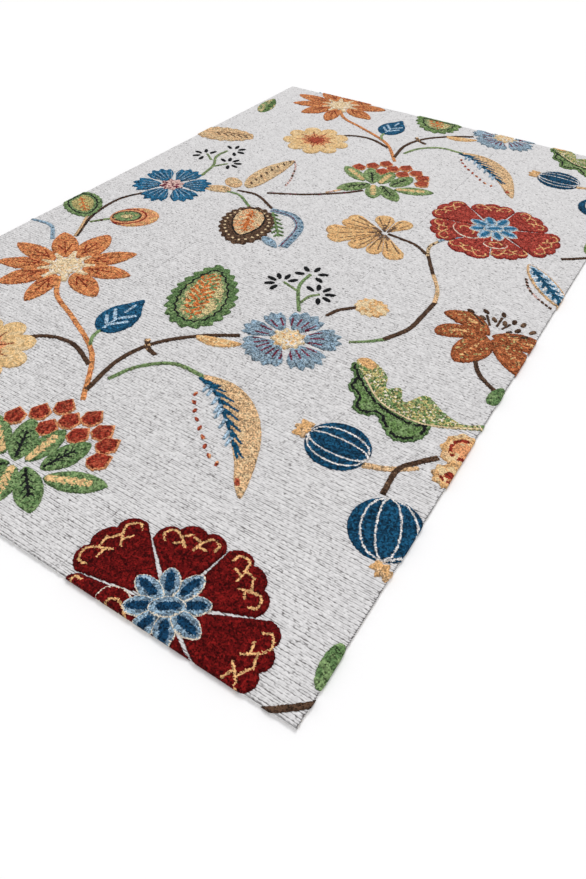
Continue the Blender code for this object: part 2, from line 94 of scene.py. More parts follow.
# Linear colours of the ground, of the cloth behind it and of the floor
LOOP_GREY = (0.66, 0.648, 0.652, 1.0)
LOOP_WHITE = (0.80, 0.787, 0.790, 1.0)
# Painted shade: the dark colour given to the low parts between the loops
GAP_PAINTED_SHADE = (0.13, 0.12, 0.12, 1.0)
# Painted light: the side below the pile, lighter than the loops to lift the shade it falls in
SIDE_PAINTED_LIGHT = (0.90, 0.895, 0.90, 1.0)
THREAD_DARK = (0.46, 0.40, 0.31, 1.0)
THREAD_LIGHT = (0.60, 0.54, 0.44, 1.0)
FLOOR_DARK = (0.955, 0.950, 0.955, 1.0)
FLOOR_LIGHT = (0.965, 0.960, 0.965, 1.0)

# The photograph's camera, found from the rug's own corners, and the soft studio light
CAMERA_PLACE = Vector((0.9328, -1.5850, 1.0247))
CAMERA_RIGHT = Vector((0.83916, 0.54346, 0.0214))
CAMERA_FORWARD = Vector((-0.37095, 0.60068, -0.70823))
CAMERA_SENSOR = 36
CAMERA_LENS = 27.396
CAMERA_SHIFT = (0.0209, -0.0006)
WORLD_STRENGTH = 0.72
SUN_STRENGTH = 1.30
SUN_SPREAD = 24
SUN_TILT = (-34, -14)
FLOOR_SIZE = 60
FLOOR_DROP = 0.0005

# Where the pattern lies on the rug, and where each motif comes again along it
PATTERN_SCALE = 0.9898
PATTERN_SHIFT = (0.0095, -0.0162)
COPIES = [(0.0, 0.0), (0.008, 1.617), (0.003, -1.636)]

Leaf = namedtuple("Leaf", "base tip width blunt sharp bend", defaults=[0.0])
LeafOnRoot = namedtuple("LeafOnRoot", "base tip width heart")
Petal = namedtuple("Petal", "angle reach width")
Fan = namedtuple("Fan", "start end inner outer lobes depth")
Oval = namedtuple("Oval", "centre length width turn")
Stamen = namedtuple("Stamen", "angle reach")
Cluster = namedtuple("Cluster", "centre first last seeds")
Stem = namedtuple("Stem", "yarn second width end points")
Part = namedtuple("Part", "yarn outline marks")
Motif = namedtuple("Motif", "name rise parts")
Stroke = namedtuple("Stroke", "yarn width points")
Spot = namedtuple("Spot", "yarn centre length width turn")
Band = namedtuple("Band", "yarn near far")
Mottle = namedtuple("Mottle", "yarn share size")

YARNS = {
    "rust": "#b56c44",
    "sienna": "#915030",
    "copper": "#cd8a58",
    "dark_red": "#7a2a18",
    "cream": "#efd6ad",
    "white": "#ebe7e4",
    "ivory": "#fef1dc",
    "navy": "#0f3249",
    "blue": "#174866",
    "azure": "#2b678a",
    "sky": "#a4bccf",
    "slate": "#849cae",
    "grey_blue": "#8496a3",
    "steel": "#657a8c",
    "teal": "#174a66",
    "green": "#70875a",
    "deep_green": "#557046",
    "sage": "#86986a",
    "fern": "#5f7a48",
    "leaf_green": "#637f46",
    "pale_green": "#c0ae80",
    "olive": "#aca06a",
    "moss": "#76875c",
    "black": "#191a1c",
    "orange": "#bd6a38",
    "maroon": "#6b2a3c",
    "brown": "#4c382b",
    "umber": "#6a5240",
    "tan": "#d0ab82",
    "beige": "#c6ab86",
    "gold": "#deae78",
    "yellow": "#eac38c",
    "straw": "#f5d5a4",
    "red": "#822c20",
    "scarlet": "#9b4632",
    "peach": "#d9976a",
    "wine": "#520a0b",
    "crimson": "#6a1211",
    "brick": "#8c322a",
    "rose": "#a6493d",
    "pink": "#d8b3ab",
    "ink": "#123652",
}

# Painted light: lighter yarns that stand in for the brighter look of the pile in the far half of the rug
PAINTED_LIGHT_FROM = 0.25
PAINTED_LIGHT_YARNS = {
    "wine": "brick",
    "crimson": "rose",
    "green": "sage",
    "deep_green": "fern",
    "red": "scarlet",
    "ink": "azure",
    "steel": "sky",
}


def polar(centre, angle, radius):
    """The point at an angle in degrees and a radius from a centre."""
    turn = math.radians(angle)
    return Vector((centre[0] + radius * math.cos(turn), centre[1] + radius * math.sin(turn)))


def ray(centre, angle, start, end):
    """The two ends of a line out from a centre, between two radii."""
    return [polar(centre, angle, start), polar(centre, angle, end)]


def leaf(shape, steps=14):
    """Closed outline from base to tip; blunt and sharp shape the two ends, 0.5 round and 1 pointed."""
    base = Vector(shape.base)
    along = Vector(shape.tip) - base
    side = Vector((-along.y, along.x)).normalized()
    widest = shape.blunt / (shape.blunt + shape.sharp)
    peak = widest**shape.blunt * (1 - widest) ** shape.sharp
    left = []
    right = []
    for step in range(1, steps):
        t = (1 - math.cos(math.pi * step / steps)) / 2
        half = shape.width / 2 * t**shape.blunt * (1 - t) ** shape.sharp / peak
        middle = base + along * t + side * shape.bend * 4 * t * (1 - t)
        right.append(middle - side * half)
        left.append(middle + side * half)
    return [base, *right, Vector(shape.tip), *reversed(left)]


def spine(shape, start, end, steps=6):
    """Points along the middle of a leaf between two shares of its length."""
    base = Vector(shape.base)
    along = Vector(shape.tip) - base
    side = Vector((-along.y, along.x)).normalized()
    shares = [start + (end - start) * step / steps for step in range(steps + 1)]
    return [base + along * t + side * shape.bend * 4 * t * (1 - t) for t in shares]


def fan(centre, row, per_lobe=6, pointed=False):
    """Outline of a petal that widens outwards, its outer rim cut into round lobes or pointed teeth."""
    span = row.end - row.start
    middle = (row.start + row.end) / 2
    outline = [polar(centre, middle - span * 0.32, row.inner)]
    for step in range(row.lobes * per_lobe + 1):
        u = step / (row.lobes * per_lobe)
        phase = u * row.lobes % 1
        bulge = 1 - abs(2 * phase - 1) if pointed else math.sin(math.pi * phase) ** 0.6
        shoulder = abs(2 * u - 1) ** 3 * row.depth * 1.5
        outline.append(
            polar(centre, row.start + span * u, row.outer - row.depth * (1 - bulge) - shoulder)
        )
    outline.append(polar(centre, middle + span * 0.32, row.inner))
    return outline


def oval(row, steps=28):
    """Outline of an oval, its length turned by an angle in degrees."""
    turn = Matrix.Rotation(math.radians(row.turn), 2)
    angles = [2 * math.pi * step / steps for step in range(steps)]
    return [
        Vector(row.centre) + turn @ Vector((row.length / 2 * math.cos(a), row.width / 2 * math.sin(a)))
        for a in angles
    ]


def catmull(a, b, c, d, t):
    """The point at t between b and c on a Catmull-Rom curve."""
    bend = (2 * a - 5 * b + 4 * c - d) * t**2 + (3 * b - 3 * c + d - a) * t**3
    return 0.5 * (2 * b + (c - a) * t + bend)


def smooth_line(points, per_span=6):
    """Points along a smooth curve through the given ones."""
    points = [Vector(p) for p in points]
    padded = [2 * points[0] - points[1], *points, 2 * points[-1] - points[-2]]
    line = []
    for a, b, c, d in zip(padded, padded[1:], padded[2:], padded[3:]):
        line.extend(catmull(a, b, c, d, step / per_span) for step in range(per_span))
    return [*line, points[-1]]


def smooth_ring(points, per_span=6):
    """Points round a smooth closed curve through the given ones."""
    points = [Vector(p) for p in points]
    count = len(points)
    ring = []
    for n in range(count):
        a, b, c, d = (points[(n + k) % count] for k in (-1, 0, 1, 2))
        ring.extend(catmull(a, b, c, d, step / per_span) for step in range(per_span))
    return ring


def ribbon(width, points, end_width=None):
    """Outline of a stem along a smooth line, its width changing evenly from root to end."""
    line = smooth_line(points)
    last = width if end_width is None else end_width
    left = []
    right = []
    for index, point in enumerate(line):
        before = line[max(index - 1, 0)]
        after = line[min(index + 1, len(line) - 1)]
        along = (after - before).normalized()
        half = (width + (last - width) * index / (len(line) - 1)) / 2
        side = Vector((-along.y, along.x)) * half
        left.append(point + side)
        right.append(point - side)
    return [*right, *reversed(left)]


def toothed(outline, count, depth, lean=0.7):
    """The outline with pointed teeth standing out round it; lean is where in its step each tooth peaks."""
    ring = even_ring(outline, count * 6)
    ahead = np.roll(ring, -1, 0) - np.roll(ring, 1, 0)
    area = np.sum(ring[:, 0] * np.roll(ring[:, 1], -1) - np.roll(ring[:, 0], -1) * ring[:, 1])
    out = np.column_stack([ahead[:, 1], -ahead[:, 0]]) * np.sign(area)
    out /= np.linalg.norm(out, axis=1)[:, None]
    phase = np.arange(len(ring)) / 6 % 1
    height = np.where(phase < lean, phase / lean, (1 - phase) / (1 - lean))
    return [Vector(p) for p in ring + out * (height * depth)[:, None]]


def burst(centre, spikes, inner):
    """Outline of a ragged heart: spikes is a list of (angle, radius), with inner radius between them."""
    spikes = sorted(spikes)
    outline = []
    for n, (angle, radius) in enumerate(spikes):
        following = spikes[(n + 1) % len(spikes)][0] + (360 if n + 1 == len(spikes) else 0)
        gap = following - angle
        outline.append(polar(centre, angle - gap * 0.10, radius))
        outline.append(polar(centre, angle + gap * 0.10, radius))
        outline.append(polar(centre, angle + gap * 0.36, inner))
        outline.append(polar(centre, angle + gap * 0.64, inner))
    return outline


def even_ring(outline, count):
    """That many evenly spaced points round a closed outline."""
    ring = np.array([(p[0], p[1]) for p in outline])
    closed = np.vstack([ring, ring[:1]])
    along = np.concatenate([[0], np.cumsum(np.hypot(*np.diff(closed, axis=0).T))])
    at = np.arange(count) * along[-1] / count
    return np.column_stack([np.interp(at, along, closed[:, 0]), np.interp(at, along, closed[:, 1])])


def girth(outline):
    """Length round a closed outline."""
    ring = np.array([(p[0], p[1]) for p in outline])
    return float(np.hypot(*(np.roll(ring, -1, 0) - ring).T).sum())


def within(points, ring):
    """Which points lie inside a closed ring."""
    x = points[:, 0][:, None]
    y = points[:, 1][:, None]
    x1, y1 = ring.T
    x2, y2 = np.roll(ring, -1, 0).T
    crosses = (y1 > y) != (y2 > y)
    with np.errstate(divide="ignore", invalid="ignore"):
        at = x1 + (y - y1) * (x2 - x1) / (y2 - y1)
    return (crosses & (x < at)).sum(1) % 2 == 1


def distance(points, line, closed=False):
    """How far each point is from the nearest stretch of a line."""
    start = line if closed else line[:-1]
    end = np.roll(line, -1, 0) if closed else line[1:]
    run = end - start
    length = np.maximum((run**2).sum(1), 1e-12)
    nearest = np.full(len(points), np.inf)
    for first in range(0, len(points), 4000):
        block = points[first : first + 4000]
        offset = block[:, None, :] - start[None]
        share = np.clip((offset * run).sum(2) / length, 0, 1)
        offset -= share[..., None] * run
        nearest[first : first + 4000] = np.sqrt((offset**2).sum(2)).min(1)
    return nearest


def barbs(yarn, width, line, count, length, lean, sides=(1, -1)):
    """Short strokes that leave a line at an angle in degrees, longest in the middle."""
    line = [Vector(p) for p in line]
    strokes = []
    for n in range(count):
        t = (n + 0.5) / count
        at = t * (len(line) - 1)
        low = min(int(at), len(line) - 2)
        along = (line[low + 1] - line[low]).normalized()
        foot = line[low].lerp(line[low + 1], at - low)
        reach = length * (0.45 + 0.55 * math.sin(math.pi * t) ** 0.6)
        for side in sides:
            turned = Matrix.Rotation(math.radians(lean) * side, 2) @ along
            strokes.append(Stroke(yarn, width, [foot, foot + turned * reach]))
    return strokes


def evenly(points, gap):
    """Places at an even gap along a smooth line."""
    line = np.array([tuple(p) for p in smooth_line(points)])
    along = np.concatenate([[0], np.cumsum(np.hypot(*np.diff(line, axis=0).T))])
    at = np.arange(gap / 2, along[-1], gap)
    return np.column_stack([np.interp(at, along, line[:, 0]), np.interp(at, along, line[:, 1])]).tolist()


def tuft_row(yarn, speckle, points, gap, length, width, turns, steps=8):
    """Separate small tufts at an even gap along a line, each turned by the next of the turns."""
    return [
        Part(yarn, oval(Oval(place, length, width, turns[n % len(turns)]), steps), [speckle])
        for n, place in enumerate(evenly(points, gap))
    ]


def plain_leaf(shape, yarn, second, share, size=0.008):
    """One leaf in two mottled yarns."""
    return [Part(yarn, leaf(shape), [Mottle(second, share, size)])]


def shares(points, size, seed):
    """A smooth random value from 0 to 1 at each point, in patches of about that size."""
    cell = np.floor(points / size).astype(int)
    part = points / size - cell
    part = part * part * (3 - 2 * part)

    def corner(dx, dy):
        mixed = (cell[:, 0] + dx) * 73856093 ^ (cell[:, 1] + dy) * 19349663 ^ seed * 83492791
        return (np.abs(mixed * 2654435761) >> 8) % 65521 / 65521

    low = corner(0, 0) * (1 - part[:, 0]) + corner(1, 0) * part[:, 0]
    high = corner(0, 1) * (1 - part[:, 0]) + corner(1, 1) * part[:, 0]
    return low * (1 - part[:, 1]) + high * part[:, 1]


def paint(points, depth, part, number_of):
    """The yarn of each face of a part: its own, then each mark over it in turn, ragged by a tuft."""
    yarn = np.full(len(points), number_of(part.yarn))
    ragged = random.uniform(-TUFT_RAGGED, TUFT_RAGGED, len(points))
    for number, mark in enumerate(part.marks):
        if isinstance(mark, Stroke):
            line = np.array([tuple(p) for p in mark.points])
            hit = distance(points, line) + ragged < mark.width / 2
        elif isinstance(mark, Spot):
            turn = math.radians(mark.turn)
            offset = points - np.array(mark.centre)
            u = offset[:, 0] * math.cos(turn) + offset[:, 1] * math.sin(turn)
            v = offset[:, 1] * math.cos(turn) - offset[:, 0] * math.sin(turn)
            from_edge = (np.hypot(2 * u / mark.length, 2 * v / mark.width) - 1) * mark.width / 2
            hit = from_edge + ragged < 0
        elif isinstance(mark, Band):
            hit = (depth + ragged * (mark.near > 0) >= mark.near) & (depth + ragged < mark.far)
        else:
            hit = shares(points, mark.size, number + 3) < mark.share
        yarn[hit] = number_of(mark.yarn)
    return yarn


# Lily: nine pointed petals round a ragged heart
LILY_CENTRE = (-0.485, -0.46)
LILY_HEART = 0.050
LILY_PETALS = [
    Petal(angle=96, reach=0.205, width=0.084),
    Petal(angle=54, reach=0.205, width=0.068),
    Petal(angle=19, reach=0.197, width=0.068),
    Petal(angle=-21, reach=0.192, width=0.072),
    Petal(angle=-79, reach=0.195, width=0.062),
    Petal(angle=-119, reach=0.195, width=0.076),
    Petal(angle=-153, reach=0.205, width=0.062),
    Petal(angle=177, reach=0.215, width=0.064),
    Petal(angle=137, reach=0.200, width=0.080),
]


def lily():
    parts = []
    for row in LILY_PETALS:
        outline = leaf(Leaf(*ray(LILY_CENTRE, row.angle, LILY_HEART, row.reach), row.width, 0.6, 0.75))
        marks = [Mottle("copper", 0.45, 0.005)]
        for turn, start, end in ((0, 0.072, 0.140), (10, 0.090, 0.122), (-10, 0.080, 0.118)):
            foot = polar(LILY_CENTRE, row.angle + turn * 0.3, start)
            marks.append(Stroke("dark_red", 0.0046, [foot, polar(LILY_CENTRE, row.angle + turn, end)]))
        parts.append(Part("rust", outline, marks))
    angles = sorted(row.angle for row in LILY_PETALS)
    gaps = [(a + b) / 2 for a, b in zip(angles, angles[1:] + [angles[0] + 360])]
    heart = burst(LILY_CENTRE, [(angle, 0.082) for angle in gaps], 0.044)
    parts.append(Part("cream", heart, [Mottle("tan", 0.30, 0.005), Mottle("ivory", 0.3, 0.005)]))
    return parts


# Cornflowers: petals with pointed teeth round a ragged heart
PALE_CORNFLOWER = (0.228, -0.392)
PALE_PETALS = [
    Fan(start=62, end=121, inner=0.042, outer=0.130, lobes=4, depth=0.016),
    Fan(start=6, end=57, inner=0.042, outer=0.138, lobes=4, depth=0.016),
    Fan(start=-61, end=0, inner=0.042, outer=0.134, lobes=5, depth=0.018),
    Fan(start=-153, end=-66, inner=0.042, outer=0.128, lobes=6, depth=0.012),
    Fan(start=166, end=205, inner=0.042, outer=0.132, lobes=3, depth=0.016),
    Fan(start=126, end=162, inner=0.042, outer=0.124, lobes=3, depth=0.014),
]
DEEP_CORNFLOWER = (-0.575, 0.130)
DEEP_PETALS = 6
DEEP_INNER = 0.040
DEEP_OUTER = 0.138
DEEP_GAP = 5


def rays(centre, row, yarn, width, start, end, count):
    """Strokes that spread evenly over a fan between two radii."""
    return [
        Stroke(yarn, width, ray(centre, angle, start, end))
        for angle in (row.start + (row.end - row.start) * (n + 0.5) / count for n in range(count))
    ]


def pale_cornflower():
    parts = []
    for row in PALE_PETALS:
        count = max(int((row.end - row.start) / 9), 3)
        marks = [
            *rays(PALE_CORNFLOWER, row, "steel", 0.0030, 0.060, 0.112, count + 1),
            Mottle("slate", 0.35, 0.009),
            *rays(PALE_CORNFLOWER, row, "maroon", 0.0056, 0.056, 0.088, max(count - 2, 2)),
        ]
        parts.append(Part("grey_blue", fan(PALE_CORNFLOWER, row, 6, True), marks))
    heart = burst(PALE_CORNFLOWER, [(n * 40 + 8, 0.046) for n in range(9)], 0.036)
    parts.append(Part("cream", heart, [Mottle("gold", 0.35, 0.006), Mottle("white", 0.25, 0.005)]))
    return parts


def deep_cornflower():
    span = 360 / DEEP_PETALS
    parts = []
    for n in range(DEEP_PETALS):
        row = Fan(span * n + DEEP_GAP, span * (n + 1), DEEP_INNER, DEEP_OUTER, 4, 0.018)
        marks = [
            Mottle("blue", 0.35, 0.005),
            *rays(DEEP_CORNFLOWER, row, "slate", 0.0034, 0.050, 0.104, 5),
            *rays(DEEP_CORNFLOWER, row, "navy", 0.0026, 0.056, 0.094, 4),
        ]
        parts.append(Part("azure", fan(DEEP_CORNFLOWER, row, 6, True), marks))
    heart = burst(DEEP_CORNFLOWER, [(m * 45, 0.044) for m in range(8)], 0.032)
    parts.append(Part("pink", heart, [Mottle("maroon", 0.32, 0.007)]))
    return parts


# Yellow flower: nine round petals
YELLOW_FLOWER = (-0.375, -0.855)
YELLOW_PETALS = 9
YELLOW_HEART = 0.024
YELLOW_REACH = 0.130
YELLOW_WIDTH = 0.066


def yellow_flower():
    parts = []
    for n in range(YELLOW_PETALS):
        angle = 360 / YELLOW_PETALS * n + 8
        base, tip = ray(YELLOW_FLOWER, angle, YELLOW_HEART, YELLOW_REACH)
        marks = [
            Mottle("straw", 0.4, 0.010),
            Spot("peach", polar(YELLOW_FLOWER, angle, 0.040), 0.040, 0.030, angle),
            Stroke("dark_red", 0.0042, ray(YELLOW_FLOWER, angle, 0.030, 0.078)),
        ]
        parts.append(Part("yellow", leaf(Leaf(base, tip, YELLOW_WIDTH, 0.9, 0.5)), marks))
    heart = burst(YELLOW_FLOWER, [(n * 40 + 28, 0.038) for n in range(9)], 0.026)
    parts.append(Part("scarlet", heart, [Mottle("red", 0.4, 0.006)]))
    return parts


# Artichoke: red scales over a fan of leaves
ARTICHOKE = (0.0, -1.070)
SCALE_CENTRES = [
    (-0.122, -0.975),
    (-0.085, -0.935),
    (-0.051, -0.893),
    (-0.035, -0.962),
    (-0.010, -0.919),
    (0.026, -0.885),
    (0.039, -0.942),
    (0.076, -0.905),
    (0.113, -0.930),
    (0.129, -0.974),
]
SCALE_LENGTH = 0.060
SCALE_WIDTH = 0.052
ARTICHOKE_LEAVES = [
    LeafOnRoot(base=(-0.052, 0.000), tip=(-0.166, 0.072), width=0.056, heart="yellow"),
    LeafOnRoot(base=(-0.018, 0.000), tip=(-0.082, 0.110), width=0.060, heart="black"),
    LeafOnRoot(base=(0.003, 0.010), tip=(0.003, 0.124), width=0.054, heart="yellow"),
    LeafOnRoot(base=(0.044, 0.012), tip=(0.078, 0.125), width=0.060, heart="black"),
    LeafOnRoot(base=(0.066, -0.002), tip=(0.190, 0.054), width=0.056, heart="yellow"),
    LeafOnRoot(base=(0.014, 0.000), tip=(0.114, -0.078), width=0.060, heart="black"),
    LeafOnRoot(base=(-0.010, -0.010), tip=(0.034, -0.104), width=0.056, heart="yellow"),
    LeafOnRoot(base=(-0.022, -0.010), tip=(-0.102, -0.110), width=0.060, heart="black"),
]


def artichoke_scales():
    """Each scale is a lozenge that points away from the root of the leaves."""
    parts = []
    for x, y in SCALE_CENTRES:
        angle = math.degrees(math.atan2(y - ARTICHOKE[1], x - ARTICHOKE[0]))
        lean = math.radians(90 + (angle - 90) * 0.55)
        ahead = Vector((math.cos(lean), math.sin(lean))) * SCALE_LENGTH / 2
        side = Vector((-math.sin(lean), math.cos(lean))) * SCALE_WIDTH / 2
        middle = Vector((x, y))
        corners = [middle + ahead, middle + side + ahead * 0.15, middle + side * 0.75 - ahead * 0.75]
        corners += [middle - ahead, middle - side * 0.75 - ahead * 0.75, middle - side + ahead * 0.15]
        marks = [Mottle("scarlet", 0.45, 0.005), Band("peach", 0.0, 0.0032)]
        parts.append(Part("red", corners, marks))
    return parts


def artichoke_leaves():
    root = Vector(ARTICHOKE)
    parts = []
    for row in ARTICHOKE_LEAVES:
        shape = Leaf(root + Vector(row.base), root + Vector(row.tip), row.width, 0.7, 0.7)
        if row.heart == "yellow":
            vein = spine(shape, 0.10, 0.72)
            marks = [
                Stroke("yellow", 0.016, vein),
                *barbs("yellow", 0.004, vein, 5, 0.016, 40),
                *barbs("green", 0.0026, vein, 4, 0.014, 38),
            ]
        else:
            vein = spine(shape, 0.08, 0.66)
            marks = [
                Stroke("black", 0.0065, vein),
                *barbs("black", 0.0036, vein, 4, 0.020, 40),
            ]
        parts.append(Part("green", leaf(shape), [Mottle("deep_green", 0.42, 0.005), *marks]))
    return parts


# Peony: scalloped outer petals, two inner curls and a star of small leaves
PEONY = (0.460, 0.475)
PEONY_PETALS = [
    Fan(start=140.4, end=190.6, inner=0.030, outer=0.215, lobes=3, depth=0.011),
    Fan(start=82.4, end=139.6, inner=0.030, outer=0.176, lobes=3, depth=0.011),
    Fan(start=25.4, end=81.6, inner=0.030, outer=0.182, lobes=3, depth=0.011),
    Fan(start=-31.6, end=24.6, inner=0.030, outer=0.211, lobes=4, depth=0.011),
    Fan(start=-73.6, end=-32.4, inner=0.030, outer=0.190, lobes=3, depth=0.011),
    Fan(start=-119.6, end=-74.4, inner=0.030, outer=0.208, lobes=2, depth=0.011),
    Fan(start=191.4, end=239.6, inner=0.030, outer=0.206, lobes=3, depth=0.011),
]
PEONY_CURLS = [
    Oval(centre=(0.392, 0.415), length=0.110, width=0.076, turn=-35),
    Oval(centre=(0.500, 0.378), length=0.074, width=0.050, turn=20),
]
PEONY_STAR = 8
PEONY_STAR_REACH = 0.086
PEONY_STAR_WIDTH = 0.042
PEONY_STAR_TURN = 33


def scroll(yarn, centre, angle, radius, size, hand):
    """A golden curl: a hook with two small forks on its stalk."""
    foot = polar(centre, angle - hand * 3, radius - size * 0.7)
    waist = polar(centre, angle + hand * 2, radius)
    crest = polar(centre, angle + hand * 7, radius + size * 0.5)
    hook = polar(centre, angle + hand * 14, radius + size * 0.30)
    end = polar(centre, angle + hand * 14, radius - size * 0.20)
    fork = polar(centre, angle - hand * 6, radius + size * 0.25)
    twig = polar(centre, angle + hand * 7, radius - size * 0.45)
    return [
        Stroke(yarn, 0.0046, smooth_line([foot, waist, crest, hook, end], 4)),
        Stroke(yarn, 0.0044, [waist, fork]),
        Stroke(yarn, 0.0044, [foot.lerp(waist, 0.5), twig]),
    ]


def peony():
    parts = []
    for row in PEONY_PETALS:
        middle = (row.start + row.end) / 2
        quarter = (row.end - row.start) / 4
        marks = [Mottle("crimson", 0.40, 0.005), Band("wine", 0.0, 0.0030)]
        marks += scroll("gold", PEONY, middle + quarter * 0.40, row.outer - 0.030, 0.032, 1)
        marks += scroll("gold", PEONY, middle - quarter * 0.55, row.outer - 0.034, 0.030, -1)
        marks.append(Mottle("crimson", 0.14, 0.004))
        parts.append(Part("wine", fan(PEONY, row, 7), marks))
    for row in PEONY_CURLS:
        marks = [
            Mottle("crimson", 0.40, 0.005),
            Stroke("gold", 0.0045, oval(Oval(row.centre, row.length * 0.5, row.width * 0.45, row.turn))[:19]),
            Band("ivory", 0.0, 0.0024),
        ]
        parts.append(Part("wine", oval(row), marks))
    star = []
    for n in range(PEONY_STAR):
        angle = 360 / PEONY_STAR * n + PEONY_STAR_TURN
        reach = PEONY_STAR_REACH * (1.0 if n % 2 else 0.92)
        star.append(ray(PEONY, angle, 0.014, reach))
    star.append((polar(PEONY, PEONY_STAR_TURN + 185, 0.034), polar(PEONY, PEONY_STAR_TURN, 0.034)))
    for base, tip in star:
        shape = Leaf(base, tip, PEONY_STAR_WIDTH, 0.6, 0.6)
        marks = [
            Mottle("steel", 0.4, 0.005),
            Stroke("ink", 0.0170, spine(shape, 0.36, 0.70)),
            Stroke("ink", 0.0080, spine(shape, 0.26, 0.82)),
            Band("ivory", 0.0, 0.0018),
        ]
        parts.append(Part("slate", leaf(shape, 10), marks))
    return parts


# Butterfly flower: seven golden lobes
BUTTERFLY = (0.185, 0.248)
BUTTERFLY_LOBES = [
    Fan(start=94, end=138, inner=0.010, outer=0.116, lobes=1, depth=0.012),
    Fan(start=52, end=91, inner=0.010, outer=0.116, lobes=1, depth=0.012),
    Fan(start=152, end=194, inner=0.010, outer=0.150, lobes=2, depth=0.010),
    Fan(start=195, end=235, inner=0.010, outer=0.186, lobes=2, depth=0.010),
    Fan(start=236, end=264, inner=0.010, outer=0.146, lobes=1, depth=0.012),
    Fan(start=266, end=292, inner=0.010, outer=0.140, lobes=1, depth=0.012),
    Fan(start=293, end=322, inner=0.010, outer=0.162, lobes=1, depth=0.012),
]


def butterfly_flower():
    parts = []
    for row in BUTTERFLY_LOBES:
        middle = (row.start + row.end) / 2
        marks = [
            Mottle("yellow", 0.4, 0.006),
            Spot("umber", polar(BUTTERFLY, middle, 0.030), 0.050, 0.014, middle),
            *rays(BUTTERFLY, row, "umber", 0.0046, row.outer * 0.36, row.outer * 0.82, row.lobes + 1),
            Mottle("gold", 0.16, 0.006),
        ]
        parts.append(Part("gold", fan(BUTTERFLY, row, 7), marks))
    return parts


# Lotus: broad petals at the right edge, with stamens above them
LOTUS_PETALS = [
    Leaf(base=(0.650, -0.082), tip=(0.511, -0.048), width=0.066, blunt=0.7, sharp=0.6, bend=-0.018),
    Leaf(base=(0.650, -0.094), tip=(0.522, -0.144), width=0.060, blunt=0.8, sharp=0.45, bend=-0.012),
    Leaf(base=(0.662, -0.096), tip=(0.790, -0.194), width=0.080, blunt=0.7, sharp=0.5, bend=0.006),
    Leaf(base=(0.656, -0.082), tip=(0.800, -0.072), width=0.070, blunt=0.7, sharp=0.5, bend=0.010),
    Leaf(base=(0.652, -0.098), tip=(0.614, -0.236), width=0.088, blunt=0.6, sharp=0.7),
]
LOTUS_STAMENS = [
    Stamen(angle=140, reach=0.110),
    Stamen(angle=128, reach=0.076),
    Stamen(angle=118, reach=0.104),
    Stamen(angle=104, reach=0.070),
    Stamen(angle=92, reach=0.104),
    Stamen(angle=80, reach=0.068),
    Stamen(angle=70, reach=0.092),
    Stamen(angle=58, reach=0.104),
    Stamen(angle=46, reach=0.074),
    Stamen(angle=38, reach=0.110),
    Stamen(angle=24, reach=0.082),
]
STAMEN_FOOT = (0.654, -0.076)


def lotus():
    parts = []
    for row in LOTUS_PETALS:
        marks = [
            Mottle("olive", 0.34, 0.006),
            Stroke("gold", 0.010, spine(row, 0.30, 0.75)),
            Mottle("sienna", 0.55, 0.005),
            Mottle("rust", 0.30, 0.007),
            Band("sienna", 0.0, 0.0060),
        ]
        parts.append(Part("sienna", leaf(row), marks))
    for number, row in enumerate(LOTUS_STAMENS):
        head = Oval(polar(STAMEN_FOOT, row.angle, row.reach), 0.024, 0.013, row.angle + 25)
        parts.append(Part("umber" if number % 2 else "brown", oval(head, 12), []))
        if number % 2 == 0:
            twig = ray(STAMEN_FOOT, row.angle, 0.040, row.reach - 0.016)
            parts.append(Part("brown", ribbon(0.0060, twig), []))
    return parts


# Leaves that stand alone
BLUE_LEAF = Leaf(base=(-0.187, -0.637), tip=(-0.187, -0.466), width=0.106, blunt=0.5, sharp=0.9)
SERRATED_LEAF = Leaf(base=(-0.018, -0.493), tip=(-0.120, -0.212), width=0.170, blunt=0.5, sharp=0.70)
GOLDEN_LEAF = Leaf(base=(0.026, -0.516), tip=(0.143, -0.478), width=0.036, blunt=0.6, sharp=0.7, bend=-0.010)
FEATHER_LEAF = Leaf(base=(0.136, -0.636), tip=(0.428, -0.894), width=0.092, blunt=0.7, sharp=0.8, bend=0.062)
BROWN_FRUIT = Leaf(base=(-0.244, 0.152), tip=(-0.158, -0.070), width=0.162, blunt=0.5, sharp=0.6)
FERN = Leaf(base=(-0.178, 0.160), tip=(-0.078, 0.038), width=0.034, blunt=0.6, sharp=0.6)
SMALL_BLUE_LEAF = Leaf(base=(-0.116, 0.010), tip=(-0.045, -0.026), width=0.034, blunt=0.6, sharp=0.8)
GREEN_BUD = Leaf(base=(-0.790, -0.100), tip=(-0.648, -0.204), width=0.120, blunt=0.5, sharp=0.6)
BEIGE_BLADE = Leaf(base=(-0.352, 0.262), tip=(-0.335, 0.550), width=0.078, blunt=0.5, sharp=0.7, bend=0.014)
BEIGE_LOBES = [
    Leaf(base=(-0.385, 0.215), tip=(-0.485, 0.176), width=0.050, blunt=0.5, sharp=0.9),
    Leaf(base=(-0.378, 0.244), tip=(-0.446, 0.292), width=0.058, blunt=0.6, sharp=0.6),
]
LEFT_BEIGE_LEAF = Leaf(base=(-0.800, 0.566), tip=(-0.584, 0.642), width=0.120, blunt=0.5, sharp=0.6)
LEFT_GREEN_LEAF = Leaf(base=(-0.712, 0.885), tip=(-0.752, 1.056), width=0.064, blunt=0.6, sharp=0.8)
LOTUS_LEAF = Leaf(base=(0.745, -0.342), tip=(0.752, -0.268), width=0.036, blunt=0.5, sharp=0.7)
RIGHT_GREEN_LEAF = Leaf(base=(0.752, 0.490), tip=(0.748, 0.582), width=0.036, blunt=0.5, sharp=0.5)
RIGHT_FEATHER = Leaf(base=(0.622, 0.326), tip=(0.790, 0.140), width=0.070, blunt=0.7, sharp=0.7)


BLUE_LEAF_RIM = [
    (0.000, 0.171),
    (-0.022, 0.136),
    (-0.046, 0.098),
    (-0.050, 0.048),
    (-0.030, 0.012),
    (0.000, 0.000),
    (0.034, 0.014),
    (0.051, 0.060),
    (0.042, 0.106),
    (0.020, 0.140),
]


